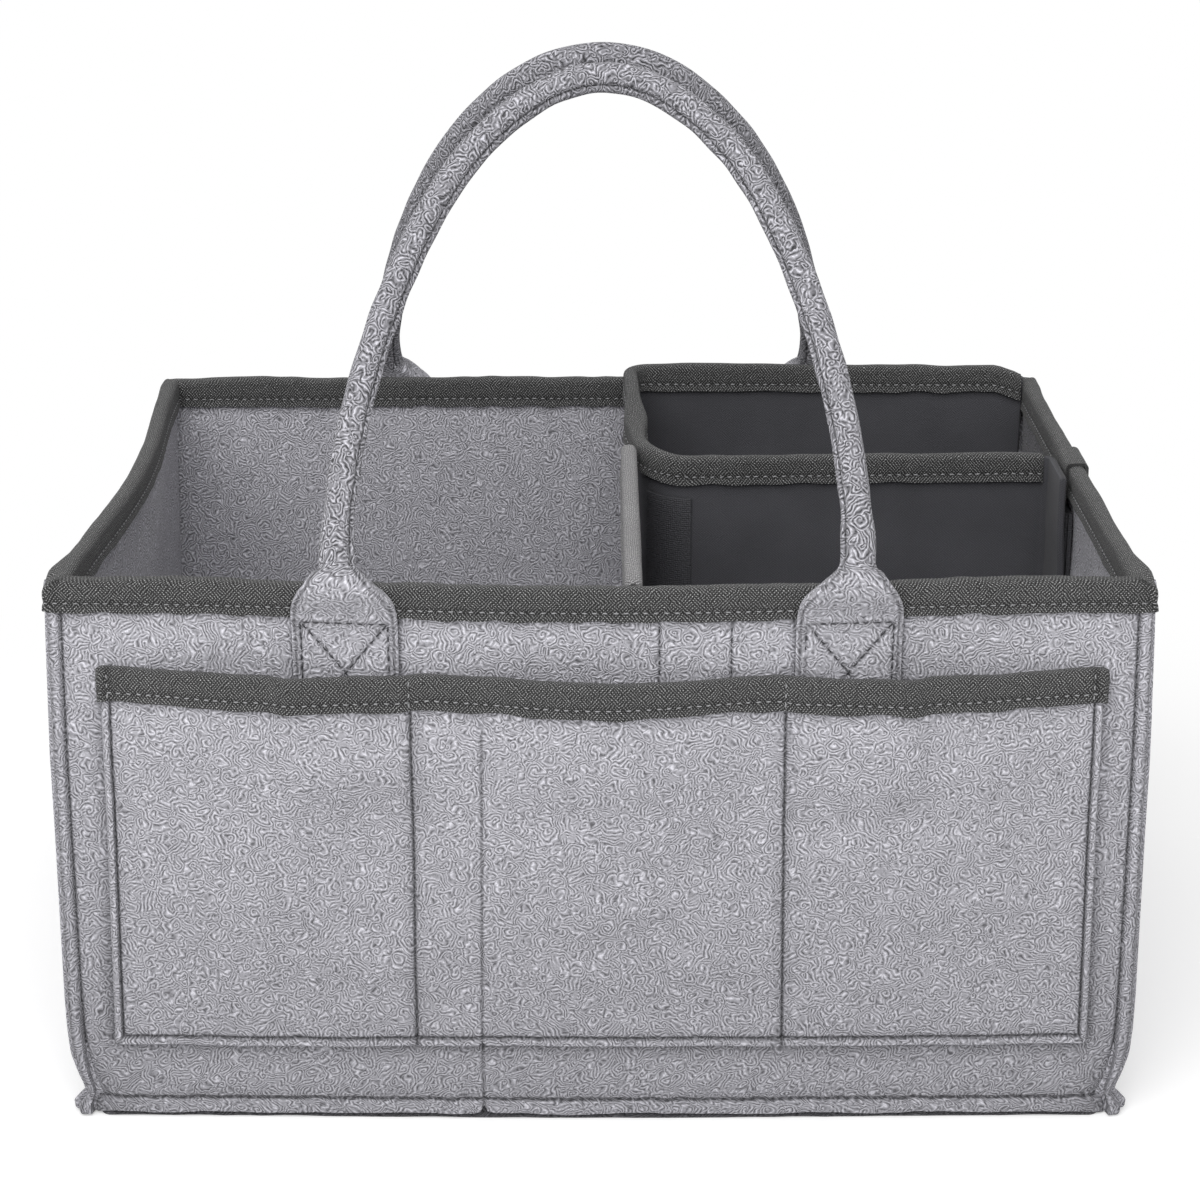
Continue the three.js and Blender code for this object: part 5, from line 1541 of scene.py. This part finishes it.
def sew(name, lines, material, body="root", slot="felt", seed=1, **sizes):
    """One object with the stitches of several sewn lines."""
    random = np.random.default_rng(seed)
    stitches = np.concatenate([stitch_line(line, normals, random, **sizes) for line, normals in lines])
    count = len(stitches)
    ring, side = np.meshgrid(np.arange(stitch_rings - 1), np.arange(stitch_sides), indexing="ij")
    beside_it = (side + 1) % stitch_sides
    here, there = ring * stitch_sides, (ring + 1) * stitch_sides
    skin = np.stack([here + side, here + beside_it, there + beside_it, there + side], -1).reshape(-1, 4)
    cap = np.array([[3, 2, 1, 0], [5, 4, 3, 0]])
    last = (stitch_rings - 1) * stitch_sides
    one = np.concatenate([skin, cap, last + np.array([[0, 1, 2, 3], [0, 3, 4, 5]])])
    quads = (one[None] + (np.arange(count) * stitch_rings * stitch_sides)[:, None, None]).reshape(-1, 4)
    piece = make_piece(name, stitches.reshape(-1, 3), quads, material, sharp=60)
    fasten(piece, body, slot)


def nearest(values, wanted):
    """Number of the station nearest to a place."""
    return int(np.abs(np.asarray(values) - wanted).argmin())


def grid_normals(grid, outward):
    """Normals of a grid of points, turned towards the outward direction."""
    normal = np.cross(np.gradient(grid, axis=1), np.gradient(grid, axis=0))
    return unit(normal * np.sign((normal * outward).sum(-1, keepdims=True)), no_length)


def wall_seams(face, columns, outward):
    """Both corner seams and the base seam of a front or back wall."""
    normals = grid_normals(face, outward)
    low, high = nearest(wall_rows, base_stitch_height), nearest(wall_rows, rim_height - tape_height)
    left, right = (nearest(columns, side * (half_width - corner_stitch_in)) for side in (-1, 1))
    lines = [(face[low:high, column], normals[low:high, column]) for column in (left, right)]
    lines.append((face[low, left:right + 1], normals[low, left:right + 1]))
    return lines, normals


front_seams, front_normals = wall_seams(front_face, front_columns, np.array([0, -1, 0]))
strip_low = nearest(wall_rows, strip_stitched_from)
strip_high = nearest(wall_rows, rim_height - tape_height)
for line in strip_stitches:
    column, rows = nearest(front_columns, line), slice(strip_low, strip_high)
    front_seams.append((front_face[rows, column], front_normals[rows, column]))
sew("front_wall_stitching", front_seams, dark_thread, seed=201)
back_seams, _ = wall_seams(back_face, back_columns, np.array([0, 1, 0]))
sew("back_wall_stitching", back_seams, dark_thread, seed=202)

side_seams = []
for face, side in ((left_face, -1), (right_face, 1)):
    row = nearest(wall_rows, base_stitch_height)
    normals = grid_normals(face, np.array([side, 0, 0]))
    inside = slice(allowance_points, face.shape[1] - allowance_points)
    side_seams.append((face[row, inside], normals[row, inside]))
sew("side_wall_stitching", side_seams, dark_thread, seed=203)


def tape_seams(rings, closed=False, legs=(0, 1)):
    """The stitched lines on the outer and inner legs of folded tape."""
    size = rings.shape[1]
    lines = []
    for leg in legs:
        outside = tape_stitch_point if leg == 0 else size // 2 - 1 - tape_stitch_point
        line, normal = rings[:, outside], rings[:, outside] - rings[:, size - 1 - outside]
        if closed:
            line, normal = np.concatenate([line, line[:1]]), np.concatenate([normal, normal[:1]])
        lines.append((line, normal))
    return lines


sew("rim_stitching", tape_seams(rim_rings, closed=True), light_thread, slot="binding", seed=204)
sew("rear_bin_stitching", tape_seams(bin_tape_rings) + tape_seams(rim_tab_rings), light_thread,
    slot="binding", seed=205)
sew("divider_stitching", tape_seams(divider_tape_rings), light_thread, body="front_divider",
    slot="pale_binding", seed=206)

pocket_normals = grid_normals(pocket_face, np.array([0, -1, 0]))
hem_row = nearest(pocket_rows, pocket_bottom + foot_hem)
under_tape_row = nearest(pocket_rows, pocket_height - tape_height)
hem_left, hem_right = (nearest(pocket_columns, line) for line in hem_lines)
foot, rows = slice(hem_left, hem_right + 1), slice(hem_row, under_tape_row)
pocket_lines = [(pocket_face[hem_row, foot], pocket_normals[hem_row, foot])]
for column in (hem_left, hem_right, *(nearest(pocket_columns, seam) for seam in pocket_seams)):
    pocket_lines.append((pocket_face[rows, column], pocket_normals[rows, column]))
sew("front_pocket_stitching", pocket_lines, dark_thread, seed=207)

tape_lines = tape_seams(pocket_tape_rings, legs=(0,))
tape_up = slice(0, 12)
for x in (*hem_lines, *pocket_seams):
    station = nearest(tape_columns, x)
    upright = pocket_tape_rings[station, tape_up]
    normal = upright - pocket_tape_rings[station, ::-1][tape_up]
    tape_lines.append((upright, normal))
sew("pocket_tape_stitching", tape_lines, light_thread, slot="binding", seed=208)


def tab_stitches(rings, roll, side):
    """The boxed cross on both tabs of a handle, laid on the tab's outer face."""
    lines = []
    for hand in (-1, 1):
        rows = np.flatnonzero((roll < 0.3) & (np.sign(rings[:, :, 0].mean(1)) == hand))
        outer = rings[rows]
        outer_points = outer.reshape(-1, 3)
        facing = side * (outer_points[:, 1] - np.repeat(outer[..., 1].mean(1), outer.shape[1])) > 0
        cloud = outer_points[facing]
        for (x0, z0), (x1, z1) in tab_lines():
            share = np.linspace(0, 1, 26)
            x = hand * (tab_center + x0 + (x1 - x0) * share) - right_tab_in * (hand > 0) * (side < 0)
            z = z0 + (z1 - z0) * share
            gap = (cloud[None, :, 0] - x[:, None]) ** 2 + (cloud[None, :, 2] - z[:, None]) ** 2
            y = cloud[gap.argmin(1), 1]
            y = np.convolve(np.pad(y, 2, mode="edge"), np.full(5, 0.2), mode="valid")
            normal = np.broadcast_to([0, side, 0], (len(x), 3))
            lines.append((placed(x, y + side * 0.0001, z), normal))
    return lines


sew("front_tab_stitching", tab_stitches(front_handle_rings, handle_roll, -1), dark_thread,
    slot="rolled_felt", seed=209, stitch=0.0026, gap=0.0007)
sew("back_tab_stitching", tab_stitches(back_handle_rings, handle_roll, 1), dark_thread,
    slot="rolled_felt", seed=210, stitch=0.0026, gap=0.0007)


def lip_stitches(rings, roll):
    """The seam that closes a roll, in the hollow beside its lip on both sides."""
    rolled = np.flatnonzero((roll > 0.99) & (rings[:, :, 2].mean(1) > blend_end + 0.006))
    centre = rings[rolled].mean(1)
    lines = []
    crown = len(rings) // 2
    from_middle = np.linalg.norm(rings[crown] - rings[crown].mean(0), axis=-1)
    hollow = int(from_middle[:section_points // 3].argmin())
    for point in (hollow, section_points - hollow):
        line = rings[rolled, point]
        lines.append((line, line - centre))
    return lines


sew("front_handle_stitching", lip_stitches(front_handle_rings, handle_roll), dark_thread,
    body="front_handle", slot="rolled_felt", seed=211)
sew("back_handle_stitching", lip_stitches(back_handle_rings, handle_roll), dark_thread,
    body="back_handle", slot="rolled_felt", seed=212)
